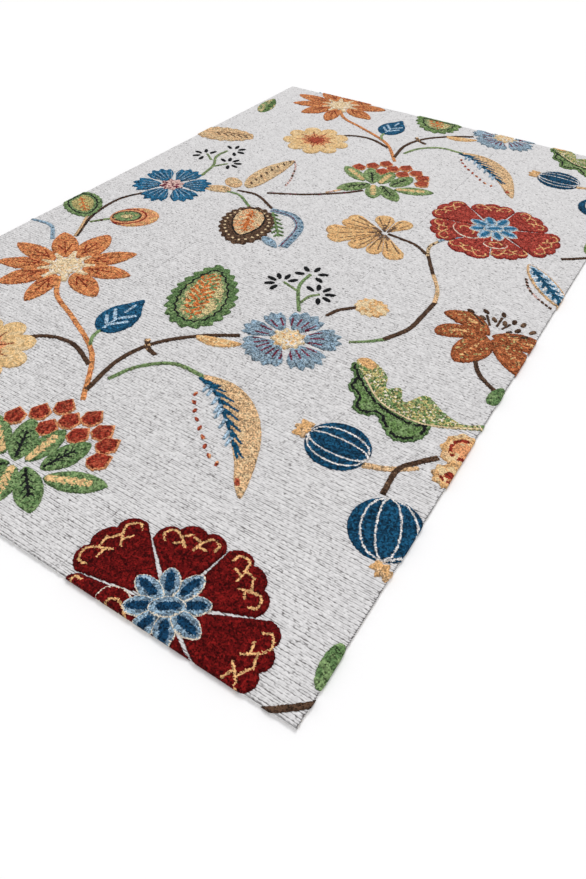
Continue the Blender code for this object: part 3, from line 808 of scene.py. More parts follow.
def blue_leaf():
    foot = Vector(BLUE_LEAF.base)
    patches = [((0.000, 0.136), (0.000, 0.096))]
    for height in (0.078, 0.046):
        patches.append(((-0.006, height - 0.016), (-0.030, height + 0.012)))
        patches.append(((0.006, height - 0.010), (0.032, height + 0.020)))
    patches.append(((0.000, 0.060), (0.000, 0.014)))
    marks = [Mottle("azure", 0.32, 0.005)]
    for number, ends in enumerate(patches):
        marks.append(Stroke("sky", 0.0062 if number in (0, 5) else 0.0092, [foot + Vector(e) for e in ends]))
    return [Part("blue", smooth_ring([foot + Vector(p) for p in BLUE_LEAF_RIM]), marks)]


def serrated_leaf():
    inner = Leaf((-0.026, -0.476), (-0.114, -0.240), 0.112, 0.5, 0.6, 0.006)
    marks = [
        Mottle("leaf_green", 0.45, 0.006),
        Band("moss", 0.0240, 0.0330),
        Band("pale_green", 0.0330, 0.1),
        Mottle("olive", 0.16, 0.005),
        *barbs("orange", 0.0125, spine(inner, 0.06, 0.90), 9, 0.038, 52),
        Stroke("orange", 0.0080, spine(inner, 0.05, 0.92)),
        Band("deep_green", 0.0, 0.0180),
        Mottle("green", 0.34, 0.006),
        Band("black", 0.0182, 0.0236),
    ]
    return [Part("green", toothed(leaf(SERRATED_LEAF, 24), 21, 0.014, 0.75), marks)]


def feather_leaf():
    line = [(0.136, -0.640), (0.200, -0.664), (0.245, -0.700), (0.300, -0.748), (0.362, -0.808)]
    wing = smooth_ring(
        [
            (0.136, -0.630),
            (0.210, -0.614),
            (0.285, -0.640),
            (0.350, -0.700),
            (0.395, -0.780),
            (0.430, -0.890),
            (0.395, -0.866),
            (0.358, -0.814),
            (0.296, -0.748),
            (0.238, -0.694),
            (0.180, -0.655),
        ]
    )
    marks = [Mottle("beige", 0.35, 0.005), Spot("scarlet", (0.400, -0.862), 0.022, 0.012, -50)]
    middle = smooth_line(line, 4)
    for n in range(8):
        foot = middle[1 + int(1.9 * n)]
        tip = foot + Vector((0.056 - 0.004 * abs(n - 3), 0.004 - 0.004 * n))
        marks.append(Stroke("teal", 0.0064, [foot, tip]))
        marks.append(Stroke("teal", 0.0110, [foot, foot.lerp(tip, 0.45)]))
    parts = [Part("tan", wing, marks), Part("teal", ribbon(0.010, line, 0.006), [])]
    for n in range(8):
        foot = middle[2 + int(1.7 * n)]
        tip = foot + Vector((0.004, -0.034 + 0.002 * abs(n - 4)))
        parts.append(Part("slate", ribbon(0.0105, [foot, tip], 0.0060), [Mottle("sky", 0.45, 0.006)]))
    return parts


def red_dots():
    """A row of separate tufts beside the feather leaf."""
    line = [
        (0.156, -0.680),
        (0.179, -0.719),
        (0.214, -0.756),
        (0.266, -0.799),
        (0.300, -0.830),
        (0.356, -0.850),
    ]
    return tuft_row("scarlet", Mottle("peach", 0.35, 0.006), line, 0.029, 0.016, 0.009, (-80, -30))


def brown_fruit():
    """A toothed rim with a row of pale dots round a pointed heart."""
    heart = Leaf((-0.243, 0.142), (-0.178, -0.030), 0.106, 0.5, 0.7, 0.004)
    vein = spine(heart, 0.10, 0.80)
    ring = even_ring(leaf(BROWN_FRUIT), 24)
    inwards = ring + (ring.mean(0) - ring) * 0.14
    marks = [
        Mottle("umber", 0.35, 0.006),
        *(Spot("cream", tuple(p), 0.0080, 0.0080, 0) for p in inwards),
    ]
    heart_marks = [
        Mottle("peach", 0.35, 0.008),
        Stroke("orange", 0.0150, vein),
        *barbs("orange", 0.0070, vein, 4, 0.030, 35),
        Mottle("beige", 0.20, 0.005),
        Band("black", 0.0, 0.0048),
    ]
    return [
        Part("brown", toothed(leaf(BROWN_FRUIT), 22, 0.010), marks),
        Part("beige", leaf(heart), heart_marks),
    ]


def blue_arc():
    line = smooth_line([(-0.192, 0.172), (-0.110, 0.176), (-0.052, 0.118), (-0.032, -0.010)], 5)
    inner = [p + Vector((-0.006, -0.007)) for p in line]
    outer = [p + Vector((0.006, 0.006)) for p in line]
    marks = [
        Mottle("grey_blue", 0.35, 0.010),
        Stroke("maroon", 0.0036, inner),
        *(Spot("teal", place, 0.0085, 0.0085, 0) for place in evenly(outer, 0.030)),
    ]
    return [Part("slate", ribbon(0.024, line, 0.030), marks)]


def fern():
    vein = spine(FERN, 0.0, 1.0)
    parts = [Part("green", ribbon(0.007, vein), [])]
    for stroke in barbs("green", 0.0, vein, 6, 0.028, 50):
        parts.append(Part("green", ribbon(0.0100, stroke.points, 0.0060), [Mottle("deep_green", 0.4, 0.006)]))
    return parts


def green_bud():
    marks = [
        Mottle("deep_green", 0.3, 0.008),
        Band("black", 0.0120, 0.0175),
        Band("olive", 0.0250, 0.1),
        *barbs("orange", 0.0050, spine(GREEN_BUD, 0.22, 0.78), 4, 0.020, 40),
        Stroke("orange", 0.0050, spine(GREEN_BUD, 0.22, 0.78)),
    ]
    return [Part("green", toothed(leaf(GREEN_BUD), 20, 0.005), marks)]


def beige_leaf():
    dashes = [Spot("brown", p, 0.022, 0.0085, -45) for p in spine(BEIGE_BLADE, 0.12, 0.92, 7)]
    parts = [Part("beige", leaf(BEIGE_BLADE), [Mottle("tan", 0.4, 0.010), *dashes])]
    for row in BEIGE_LOBES:
        parts += plain_leaf(row, "tan", "beige", 0.4, 0.010)
    edge = [(-0.335, 0.548), (-0.300, 0.500), (-0.282, 0.455), (-0.262, 0.405), (-0.252, 0.355)]
    parts += tuft_row("pink", Mottle("brown", 0.4, 0.008), edge, 0.020, 0.016, 0.008, (-60,), 10)
    return parts


def left_beige_leaf():
    marks = [
        Mottle("beige", 0.4, 0.010),
        *barbs("brown", 0.0060, spine(LEFT_BEIGE_LEAF, 0.30, 0.90), 5, 0.030, 38),
    ]
    return [Part("tan", toothed(leaf(LEFT_BEIGE_LEAF), 14, 0.008), marks)]


def left_green_leaf():
    vein = spine(LEFT_GREEN_LEAF, 0.0, 1.0)
    right = [p + Vector((0.014, 0.004)) for p in vein]
    marks = [
        Mottle("moss", 0.5, 0.010),
        Stroke("deep_green", 0.022, right),
        *barbs("black", 0.005, right, 4, 0.016, 35),
    ]
    return [Part("pale_green", leaf(LEFT_GREEN_LEAF), marks)]


def right_feather():
    vein = spine(RIGHT_FEATHER, 0.12, 0.86)
    marks = [
        Mottle("white", 0.30, 0.006),
        Stroke("teal", 0.0120, vein),
        *barbs("teal", 0.0095, vein, 6, 0.026, 38),
        Band("tan", 0.0, 0.0060),
    ]
    parts = [Part("sky", leaf(RIGHT_FEATHER), marks)]
    edge = [(0.640, 0.245), (0.665, 0.195), (0.700, 0.160), (0.752, 0.128)]
    parts += tuft_row("brown", Mottle("pink", 0.4, 0.008), edge, 0.015, 0.014, 0.008, (-45,))
    return parts


# Acanthus: one side mottled and lobed, the other deep green with black scallops
ACANTHUS_VEIN = [(0.458, -0.415), (0.530, -0.475), (0.620, -0.492), (0.690, -0.470), (0.775, -0.420)]
ACANTHUS_UPPER = [
    (0.414, -0.372),
    (0.440, -0.348),
    (0.500, -0.380),
    (0.522, -0.425),
    (0.550, -0.406),
    (0.578, -0.446),
    (0.612, -0.396),
    (0.668, -0.428),
    (0.720, -0.440),
    (0.775, -0.405),
    (0.775, -0.424),
    (0.690, -0.472),
    (0.610, -0.494),
    (0.530, -0.476),
    (0.460, -0.420),
]
ACANTHUS_LOWER = [
    (0.416, -0.380),
    (0.460, -0.425),
    (0.532, -0.480),
    (0.612, -0.498),
    (0.658, -0.488),
    (0.655, -0.540),
    (0.612, -0.570),
    (0.570, -0.545),
    (0.545, -0.520),
    (0.520, -0.535),
    (0.488, -0.528),
    (0.476, -0.490),
    (0.445, -0.470),
    (0.438, -0.425),
    (0.418, -0.405),
]


def acanthus():
    upper = [
        Mottle("fern", 0.45, 0.005),
        Mottle("ivory", 0.22, 0.004),
        Mottle("moss", 0.30, 0.006),
        Spot("gold", (0.440, -0.366), 0.060, 0.034, -25),
    ]
    lower = [
        Mottle("fern", 0.50, 0.006),
        Band("black", 0.0055, 0.0125),
        Mottle("green", 0.24, 0.012),
        Band("deep_green", 0.0, 0.0040),
    ]
    return [
        Part("olive", smooth_ring(ACANTHUS_UPPER), upper),
        Part("green", toothed(smooth_ring(ACANTHUS_LOWER), 34, 0.004, 0.5), lower),
        Part("cream", ribbon(0.0045, ACANTHUS_VEIN), []),
    ]


# Round fruits, buds and the small flower at the right edge
BLUE_FRUITS = [
    Oval(centre=(0.519, -0.655), length=0.148, width=0.140, turn=0),
    Oval(centre=(0.705, -0.799), length=0.156, width=0.150, turn=-70),
]
FRUIT_CROWNS = [
    Oval(centre=(0.430, -0.650), length=0.048, width=0.026, turn=90),
    Oval(centre=(0.741, -0.888), length=0.040, width=0.020, turn=-20),
]
MERIDIANS = [(0.66, 0.28, -0.42, -0.76), (-0.66, -0.26, 0.38, 0.80)]
ORANGE_BUD = Oval(centre=(-0.522, -0.124), length=0.156, width=0.122, turn=40)
PALE_BUD = Oval(centre=(0.340, -0.146), length=0.086, width=0.076, turn=0)
EDGE_FLOWER = [
    Oval(centre=(0.748, -0.520), length=0.100, width=0.080, turn=90),
    Oval(centre=(0.752, -0.604), length=0.060, width=0.062, turn=90),
]


def blue_fruits():
    parts = []
    for row, meridians in zip(BLUE_FRUITS, MERIDIANS):
        turn = Matrix.Rotation(math.radians(row.turn), 2)
        marks = [Mottle("navy", 0.45, 0.005)]
        for share in meridians:
            points = []
            for step in range(13):
                t = step / 12 * 2 - 1
                bow = math.sqrt(max(1 - t * t, 0.0)) * share * row.width / 2
                points.append(Vector(row.centre) + turn @ Vector((t * row.length / 2, bow)))
            marks.append(Stroke("white", 0.0036, points))
        parts.append(Part("blue", oval(row, 36), marks))
    return parts


def fruit_crowns():
    speckle = Mottle("gold", 0.5, 0.008)
    return [Part("tan", toothed(oval(row), 6, 0.010, 0.5), [speckle]) for row in FRUIT_CROWNS]


def orange_bud():
    turn = math.radians(ORANGE_BUD.turn)
    x, y = ORANGE_BUD.centre
    heart = (x - 0.026 * math.cos(turn), y - 0.020 * math.sin(turn))
    rings = [
        ("red", 0.128, 0.102),
        ("peach", 0.114, 0.088),
        ("brown", 0.096, 0.074),
        ("green", 0.082, 0.060),
        ("pale_green", 0.040, 0.024),
    ]
    marks = [
        Mottle("gold", 0.40, 0.010),
        *(Spot(yarn, heart, length, width, ORANGE_BUD.turn) for yarn, length, width in rings),
        Mottle("peach", 0.10, 0.006),
    ]
    return [Part("peach", oval(ORANGE_BUD), marks)]


def pale_bud():
    marks = [Mottle("gold", 0.45, 0.008), Mottle("straw", 0.3, 0.006)]
    return [Part("cream", toothed(oval(PALE_BUD), 12, 0.007), marks)]


def edge_flower():
    parts = []
    for number, row in enumerate(EDGE_FLOWER):
        marks = [
            Mottle("tan", 0.35, 0.008),
            Spot("red", row.centre, row.length * 0.70, row.width * 0.70, row.turn),
            Mottle("gold", 0.18, 0.007),
            Spot("peach", row.centre, row.length * 0.50, row.width * 0.50, row.turn),
            Mottle("straw", 0.30, 0.008),
        ]
        if number == 1:
            marks.append(Spot("red", row.centre, row.length * 0.36, row.width * 0.30, row.turn))
        parts.append(Part("gold", toothed(oval(row), 9, 0.007, 0.5), marks))
    return parts


# Seeds: three clusters on each sprig, every seed pointing away from its twig's end
SEED_REACH = 0.034
SEED_LENGTH = 0.031
SEED_WIDTH = 0.0135
SEED_CLUSTERS = [
    Cluster(centre=(0.121, -0.096), first=-20, last=200, seeds=5),
    Cluster(centre=(0.071, -0.178), first=50, last=260, seeds=6),
    Cluster(centre=(0.187, -0.172), first=-60, last=160, seeds=6),
    Cluster(centre=(-0.572, 0.492), first=-50, last=150, seeds=5),
    Cluster(centre=(-0.636, 0.402), first=70, last=280, seeds=5),
    Cluster(centre=(-0.520, 0.388), first=-60, last=160, seeds=6),
]


def seeds():
    parts = []
    for row in SEED_CLUSTERS:
        for n in range(row.seeds):
            angle = row.first + (row.last - row.first) * n / (row.seeds - 1)
            middle = polar(row.centre, angle, SEED_REACH)
            parts.append(Part("black", oval(Oval(middle, SEED_LENGTH, SEED_WIDTH, angle), 12), []))
    return parts


# Stems: yarn, second yarn, widths at root and end, and a few points
STEMS = [
    Stem("copper", "rust", 0.014, 0.012, [
        (-0.462, -0.510), (-0.395, -0.584), (-0.283, -0.636), (-0.138, -0.718), (-0.036, -0.854),
    ]),
    Stem("brown", "brown", 0.012, 0.012, [
        (0.118, -0.450), (0.035, -0.510), (-0.038, -0.596), (-0.068, -0.700), (-0.054, -0.824),
    ]),
    Stem("brown", "tan", 0.014, 0.012, [(-0.066, -0.594), (-0.040, -0.622), (-0.008, -0.634)]),
    Stem("green", "moss", 0.009, 0.009, [(-0.190, -0.626), (-0.186, -0.665), (-0.166, -0.696)]),
    Stem("brown", "brown", 0.012, 0.012, [
        (-0.342, -0.788), (-0.285, -0.730), (-0.205, -0.715), (-0.115, -0.752),
    ]),
    Stem("green", "moss", 0.010, 0.012, [
        (-0.040, -0.766), (-0.012, -0.692), (0.055, -0.634), (0.150, -0.634),
    ]),
    Stem("tan", "beige", 0.016, 0.010, [(0.588, -0.676), (0.640, -0.655), (0.692, -0.618)]),
    Stem("brown", "umber", 0.013, 0.012, [
        (0.714, -0.566), (0.684, -0.602), (0.656, -0.648), (0.660, -0.724),
    ]),
    Stem("brown", "brown", 0.011, 0.011, [(0.654, -0.200), (0.690, -0.255), (0.756, -0.300)]),
    Stem("green", "moss", 0.010, 0.009, [(0.186, -0.272), (0.124, -0.170), (0.117, -0.095)]),
    Stem("moss", "green", 0.007, 0.007, [(0.135, -0.192), (0.075, -0.172)]),
    Stem("moss", "green", 0.008, 0.007, [(0.168, -0.236), (0.172, -0.196), (0.192, -0.170)]),
    Stem("brown", "brown", 0.010, 0.012, [(0.257, -0.248), (0.272, -0.205), (0.306, -0.168)]),
    Stem("green", "moss", 0.006, 0.012, [(0.362, -0.316), (0.402, -0.285), (0.436, -0.250)]),
    Stem("brown", "brown", 0.013, 0.012, [
        (0.430, -0.256), (0.464, -0.180), (0.470, -0.100), (0.472, -0.020),
    ]),
    Stem("tan", "beige", 0.012, 0.010, [(0.472, -0.026), (0.452, 0.040), (0.408, 0.112)]),
    Stem("brown", "brown", 0.011, 0.010, [(0.410, 0.108), (0.380, 0.156), (0.350, 0.208)]),
    Stem("brown", "brown", 0.010, 0.010, [(0.352, 0.200), (0.290, 0.238), (0.196, 0.250)]),
    Stem("beige", "brown", 0.010, 0.010, [(0.354, 0.196), (0.336, 0.250), (0.346, 0.300)]),
    Stem("slate", "grey_blue", 0.010, 0.012, [(0.346, 0.296), (0.364, 0.336), (0.398, 0.358)]),
    Stem("green", "moss", 0.008, 0.010, [(-0.410, 0.196), (-0.340, 0.200), (-0.262, 0.148)]),
    Stem("brown", "brown", 0.009, 0.010, [(-0.366, 0.226), (-0.290, 0.235), (-0.196, 0.182)]),
    Stem("brown", "maroon", 0.010, 0.010, [
        (-0.272, 0.268), (-0.160, 0.334), (-0.060, 0.420), (-0.012, 0.478),
    ]),
    Stem("tan", "pink", 0.008, 0.008, [(-0.110, 0.388), (-0.070, 0.450)]),
    Stem("brown", "black", 0.009, 0.010, [
        (-0.616, 0.024), (-0.650, -0.060), (-0.640, -0.190), (-0.586, -0.318),
    ]),
    Stem("tan", "beige", 0.008, 0.008, [(-0.650, -0.205), (-0.620, -0.260), (-0.590, -0.320)]),
    Stem("moss", "brown", 0.008, 0.010, [(-0.617, -0.228), (-0.580, -0.176)]),
    Stem("slate", "grey_blue", 0.009, 0.013, [(-0.780, -0.320), (-0.700, -0.314), (-0.632, -0.372)]),
    Stem("moss", "green", 0.010, 0.009, [(-0.537, 0.248), (-0.556, 0.345), (-0.592, 0.410), (-0.590, 0.478)]),
    Stem("moss", "green", 0.008, 0.007, [(-0.590, 0.376), (-0.636, 0.412)]),
    Stem("moss", "green", 0.008, 0.007, [(-0.550, 0.335), (-0.520, 0.384)]),
    Stem("brown", "umber", 0.011, 0.011, [(0.694, 0.412), (0.729, 0.440), (0.779, 0.484)]),
]


def stems():
    return [
        Part(row.yarn, ribbon(row.width, row.points, row.end), [Mottle(row.second, 0.3, 0.009)])
        for row in STEMS
    ]


ALL_MOTIFS = [
    Motif("stems", STEM_RISE, stems()),
    Motif("lily", FLOWER_RISE, lily()),
    Motif("pale_cornflower", FLOWER_RISE, pale_cornflower()),
    Motif("deep_cornflower", FLOWER_RISE, deep_cornflower()),
    Motif("yellow_flower", FLOWER_RISE, yellow_flower()),
    Motif("artichoke_scales", FLOWER_RISE, artichoke_scales()),
    Motif("artichoke_leaves", LEAF_RISE, artichoke_leaves()),
    Motif("peony", FLOWER_RISE, peony()),
    Motif("butterfly_flower", FLOWER_RISE, butterfly_flower()),
    Motif("lotus", FLOWER_RISE, lotus()),
    Motif("blue_leaf", LEAF_RISE, blue_leaf()),
    Motif("serrated_leaf", LEAF_RISE, serrated_leaf()),
    Motif("golden_leaf", LEAF_RISE, plain_leaf(GOLDEN_LEAF, "gold", "straw", 0.4)),
    Motif("feather_leaf", LEAF_RISE, feather_leaf()),
    Motif("red_dots", STEM_RISE, red_dots()),
    Motif("brown_fruit", FLOWER_RISE, brown_fruit()),
    Motif("blue_arc", FLOWER_RISE, blue_arc()),
    Motif("fern", LEAF_RISE, fern()),
    Motif("small_blue_leaf", LEAF_RISE, plain_leaf(SMALL_BLUE_LEAF, "slate", "grey_blue", 0.4)),
    Motif("green_bud", LEAF_RISE, green_bud()),
    Motif("beige_leaf", LEAF_RISE, beige_leaf()),
    Motif("left_beige_leaf", LEAF_RISE, left_beige_leaf()),
    Motif("left_green_leaf", LEAF_RISE, left_green_leaf()),
    Motif("lotus_leaf", LEAF_RISE, plain_leaf(LOTUS_LEAF, "green", "deep_green", 0.5)),
    Motif("right_green_leaf", LEAF_RISE, plain_leaf(RIGHT_GREEN_LEAF, "deep_green", "green", 0.5)),
    Motif("right_feather", LEAF_RISE, right_feather()),
    Motif("acanthus", LEAF_RISE, acanthus()),
    Motif("blue_fruits", FLOWER_RISE, blue_fruits()),
    Motif("fruit_crowns", LEAF_RISE, fruit_crowns()),
    Motif("orange_bud", FLOWER_RISE, orange_bud()),
    Motif("pale_bud", LEAF_RISE, pale_bud()),
    Motif("edge_flower", FLOWER_RISE, edge_flower()),
    Motif("seeds", STEM_RISE, seeds()),
]


# How far the pile's pattern runs past the level top: over the rolled edge and down to the foot
HALF_X = RUG_WIDTH / 2
HALF_Y = RUG_LENGTH / 2
OVER_EDGE = EDGE_ROLL * (math.pi / 2 - 1) + GROUND_HEIGHT - EDGE_ROLL - EDGE_FOOT


def lay(pattern, height):
    """Places points of the flat pattern on the rug: level inside, then over the rolled edge and down."""
    placed = np.empty((len(pattern), 3))
    lean = np.ones(len(pattern))
    drop = np.zeros(len(pattern))
    for axis, half in ((0, HALF_X), (1, HALF_Y)):
        reach = np.abs(pattern[:, axis])
        run = reach - (half - EDGE_ROLL)
        turn = np.clip(run / EDGE_ROLL, 0, math.pi / 2)
        down = np.clip(run - EDGE_ROLL * math.pi / 2, 0, None)
        lift = height * np.where(height > 0, 1 - EDGE_SQUASH * np.sin(turn), 1)
        out = np.where(run > 0, half - EDGE_ROLL + (EDGE_ROLL + lift) * np.sin(turn), reach)
        placed[:, axis] = np.sign(pattern[:, axis]) * out
        lean *= np.cos(turn)
        drop = np.hypot(drop, EDGE_ROLL * (1 - np.cos(turn)) + down)
    placed[:, 2] = np.maximum(GROUND_HEIGHT - drop + height * lean, EDGE_FOOT)
    return placed


def copies_on_rug(motif):
    """The motif's parts at each place where they reach onto the rug."""
    moved = []
    for dx, dy in COPIES:
        for part in motif.parts:
            ring = even_ring(part.outline, max(int(girth(part.outline) / RIM_PITCH), 6))
            ring = (ring + (dx, dy)) * PATTERN_SCALE + PATTERN_SHIFT
            low = ring.min(0)
            high = ring.max(0)
            if high[1] > -HALF_Y and low[1] < HALF_Y:
                moved.append((ring, part, (dx, dy)))
    return moved


def clipped(ring):
    """The ring cut to the reach of the pile, edge by edge."""
    for axis, limit in ((0, HALF_X + OVER_EDGE), (1, HALF_Y + OVER_EDGE)):
        for sign in (1, -1):
            inside = ring[:, axis] * sign <= limit
            if inside.all():
                continue
            kept = []
            for n in range(len(ring)):
                here, there = ring[n - 1], ring[n]
                if inside[n - 1] != inside[n]:
                    share = (limit * sign - here[axis]) / (there[axis] - here[axis])
                    kept.append(here + (there - here) * share)
                if inside[n]:
                    kept.append(there)
            ring = np.array(kept)
            if len(ring) < 3:
                return ring
    return ring


def tuft_points(low, high):
    """Unevenly set points over a box, in staggered rows."""
    row_pitch = TUFT_PITCH * math.sqrt(3) / 2
    rows = np.arange(low[1], high[1], row_pitch)
    columns = np.arange(low[0], high[0] + TUFT_PITCH, TUFT_PITCH)
    x, y = np.meshgrid(columns, rows)
    x[1::2] += TUFT_PITCH / 2
    points = np.column_stack([x.ravel(), y.ravel()])
    return points + random.uniform(-TUFT_STRAY, TUFT_STRAY, points.shape) * TUFT_PITCH


def overlap(ring, other):
    """Whether the boxes round two rings overlap."""
    return np.all(other.min(0) < ring.max(0)) and np.all(other.max(0) > ring.min(0))


def pile_plan(rings):
    """Points and edges of a motif's pile: each ring where no later part hides it, filled with tufts."""
    points = []
    edges = []
    for number, ring in enumerate(rings):
        later = [other for other in rings[number + 1 :] if overlap(ring, other)]
        middles = (ring + np.roll(ring, -1, 0)) / 2
        hidden = np.zeros(len(ring), bool)
        for other in later:
            hidden |= within(middles, other)
        first = len(points)
        points.extend(ring)
        edges.extend((first + n, first + (n + 1) % len(ring)) for n in range(len(ring)) if not hidden[n])
        fill = tuft_points(ring.min(0), ring.max(0))
        fill = fill[within(fill, ring)]
        for other in later:
            fill = fill[~within(fill, other)]
        for other in [ring, *later]:
            if len(fill):
                fill = fill[distance(fill, other, True) > TUFT_PITCH * TUFT_CLEAR]
        points.extend(fill)
    return points, edges


def skirt(flat, height, faces, yarn):
    """Walls from the open border of the pile down into the ground, in the yarn of the faces above."""
    face_at = {}
    for number, face in enumerate(faces):
        for a, b in zip(face, np.roll(face, -1)):
            face_at[(int(a), int(b))] = number
    foot = {}
    pattern = list(flat)
    heights = list(height)
    walls = []
    wall_yarn = []
    for a, b in face_at:
        if (b, a) in face_at:
            continue
        for end in (a, b):
            if end not in foot:
                foot[end] = len(pattern)
                pattern.append(flat[end])
                heights.append(-SKIRT)
        walls.append((a, foot[a], foot[b]))
        walls.append((a, foot[b], b))
        wall_yarn.extend([int(yarn[face_at[(a, b)]])] * 2)
    return np.array(pattern), np.array(heights), walls, wall_yarn


def motif_mesh(name, rise, moved):
    """The cut pile of a motif: tufted faces inside its outlines, a carved rim and a skirt into the ground."""
    rings = []
    for ring, part, shift in moved:
        ragged = clipped(ring + random.uniform(-RAGGED, RAGGED, ring.shape))
        if len(ragged) >= 3:
            rings.append((ragged, part, shift))
    points, edges = pile_plan([ring for ring, _, _ in rings])
    flat, _, faces, _, _, _ = geometry.delaunay_2d_cdt([Vector(p) for p in points], edges, [], 0, 1e-6)
    flat = np.array([tuple(p) for p in flat])
    faces = np.array(faces)
    centres = flat[faces].mean(1)
    owner = np.full(len(faces), -1)
    depth = np.zeros(len(flat))
    face_depth = np.zeros(len(faces))
    for number, (ring, _, _) in enumerate(rings):
        box_low = ring.min(0) - 0.001
        box_high = ring.max(0) + 0.001
        inside = np.nonzero(((centres > box_low) & (centres < box_high)).all(1))[0]
        inside = inside[within(centres[inside], ring)]
        owner[inside] = number
        face_depth[inside] = distance(centres[inside], ring, True)
        nearby = np.nonzero(((flat > box_low) & (flat < box_high)).all(1))[0]
        covered = nearby[within(flat[nearby], ring)]
        depth[covered] = distance(flat[covered], ring, True)
        depth[nearby[distance(flat[nearby], ring, True) < ON_RIM]] = 0.0
    names = sorted(YARNS)
    yarn = np.zeros(len(faces), int)
    for number, (ring, part, shift) in enumerate(rings):
        own = owner == number
        if own.any():
            # Painted light: parts in the far half take the lighter yarns
            light_swap = PAINTED_LIGHT_YARNS if ring[:, 1].mean() > PAINTED_LIGHT_FROM else {}
            yarn[own] = paint(
                (centres[own] - PATTERN_SHIFT) / PATTERN_SCALE - shift,
                face_depth[own],
                part,
                lambda key: names.index(light_swap.get(key, key)),
            )
    kept = owner >= 0
    faces = faces[kept]
    yarn = yarn[kept]
    share = np.clip(depth / CARVED_SLOPE, 0, 1)
    height = RIM_RISE + (rise - RIM_RISE) * (1 - (1 - share) ** 2)
    height += random.uniform(-TUFT_UNEVEN, TUFT_UNEVEN, len(flat)) * (0.4 + share)
    pattern, heights, walls, wall_yarn = skirt(flat, height, faces, yarn)
    used = sorted(set(yarn.tolist()))
    slots = [used.index(y) for y in yarn.tolist() + wall_yarn]
    materials = [yarn_material(names[y]) for y in used]
    return add_piece(name, lay(pattern, heights), faces.tolist() + walls, materials, slots)


def add_piece(name, points, faces, materials, indices=None):
    """A smooth-shaded mesh object of these points and faces, linked to the scene."""
    mesh = bpy.data.meshes.new(name)
    mesh.from_pydata(points.tolist(), [], faces)
    for material in materials:
        mesh.materials.append(material)
    if indices is not None:
        mesh.polygons.foreach_set("material_index", indices)
    mesh.polygons.foreach_set("use_smooth", [True] * len(mesh.polygons))
    mesh.update()
    made = bpy.data.objects.new(name, mesh)
    bpy.context.scene.collection.objects.link(made)
    return made


def linear(code):
    """Linear colour of an sRGB hex code."""
    values = [int(code[n : n + 2], 16) / 255 for n in (1, 3, 5)]
    return [v / 12.92 if v <= 0.04045 else ((v + 0.055) / 1.055) ** 2.4 for v in values]


def node_material(name, roughness, sheen):
    material = bpy.data.materials.new(name)
    material.use_nodes = True
    shader = material.node_tree.nodes["Principled BSDF"]
    shader.inputs["Roughness"].default_value = roughness
    shader.inputs["Sheen Weight"].default_value = sheen
    shader.inputs["Sheen Roughness"].default_value = 0.6
    shader.inputs["Specular IOR Level"].default_value = 0.04
    return material, material.node_tree, shader


def add_node(tree, kind, inputs, data_type=None):
    """A node with these inputs: a socket is linked, any other value is set."""
    node = tree.nodes.new("ShaderNode" + kind)
    if data_type:
        node.data_type = data_type
    for name, value in inputs.items():
        if isinstance(value, bpy.types.NodeSocket):
            tree.links.new(value, node.inputs[name])
        else:
            node.inputs[name].default_value = value
    return node


def blend(tree, factor, low, high):
    """A mix of two colours, from low at factor 0 to high at factor 1."""
    return add_node(tree, "Mix", {"Factor": factor, "A": low, "B": high}, "RGBA").outputs["Result"]


def cell_value(tree, place, scale):
    """A random value for each cell of a Voronoi pattern."""
    cells = add_node(tree, "TexVoronoi", {"Scale": scale, "Vector": place})
    return add_node(tree, "SeparateColor", {"Color": cells.outputs["Color"]}).outputs["Red"]


yarn_cache = {}


def yarn_material(name):
    """Cut wool of one colour: each tuft a little lighter or darker, with fine fibres."""
    if name in yarn_cache:
        return yarn_cache[name]
    material, tree, shader = node_material("yarn_" + name, 0.95, 0.02)
    place = add_node(tree, "TexCoord", {}).outputs["Object"]
    fine = cell_value(tree, place, 360)
    coarse = cell_value(tree, place, 150)
    both = add_node(tree, "Mix", {"Factor": 0.25, "A": fine, "B": coarse}).outputs["Result"]
    spread = add_node(tree, "MapRange", {"From Min": 0.18, "From Max": 0.82, "Value": both})
    colour = linear(YARNS[name])
    light = min(TUFT_LIGHT, WHITEST / max(colour))
    dark = TUFT_DARK + (TUFT_LIGHT - light) * 0.40
    shades = [[c * share for c in colour] + [1.0] for share in (dark, light)]
    tree.links.new(blend(tree, spread.outputs["Result"], *shades), shader.inputs["Base Color"])
    fibres = add_node(tree, "TexNoise", {"Scale": 700, "Vector": place}).outputs["Fac"]
    bump = add_node(tree, "Bump", {"Strength": 0.8, "Distance": 0.0010, "Height": fibres})
    tree.links.new(bump.outputs["Normal"], shader.inputs["Normal"])
    yarn_cache[name] = material
    return material


def ground_material():
    """Off-white loops with painted shade that darkens the low parts between them by height, and a side painted
    lighter to lift its shade.
    """
    material, tree, shader = node_material("loop_pile", 0.95, 0.15)
    place = add_node(tree, "TexCoord", {}).outputs["Object"]
    height = add_node(tree, "SeparateXYZ", {"Vector": place}).outputs["Z"]

    def above(low, high):
        limits = {"From Min": GROUND_HEIGHT - low, "From Max": GROUND_HEIGHT - high, "Value": height}
        return add_node(tree, "MapRange", limits).outputs["Result"]

    loops = blend(tree, cell_value(tree, place, 215), LOOP_GREY, LOOP_WHITE)
    # Painted shade: below the crests the loops turn dark by height, standing in for the shade between them
    pile = blend(tree, above(0.0022, 0.0012), GAP_PAINTED_SHADE, loops)
    # Painted light: the side below the pile takes a lighter colour than the loops, lifting its shade
    whole = blend(tree, above(0.0048, 0.0036), SIDE_PAINTED_LIGHT, pile)
    tree.links.new(whole, shader.inputs["Base Color"])
    return material


def backing_material():
    """Coarse woven cloth on the underside."""
    material, tree, shader = node_material("woven_backing", 0.9, 0.0)
    place = add_node(tree, "TexCoord", {}).outputs["Object"]
    threads = add_node(tree, "TexWave", {"Scale": 60, "Vector": place}).outputs["Fac"]
    tree.links.new(blend(tree, threads, THREAD_DARK, THREAD_LIGHT), shader.inputs["Base Color"])
    return material


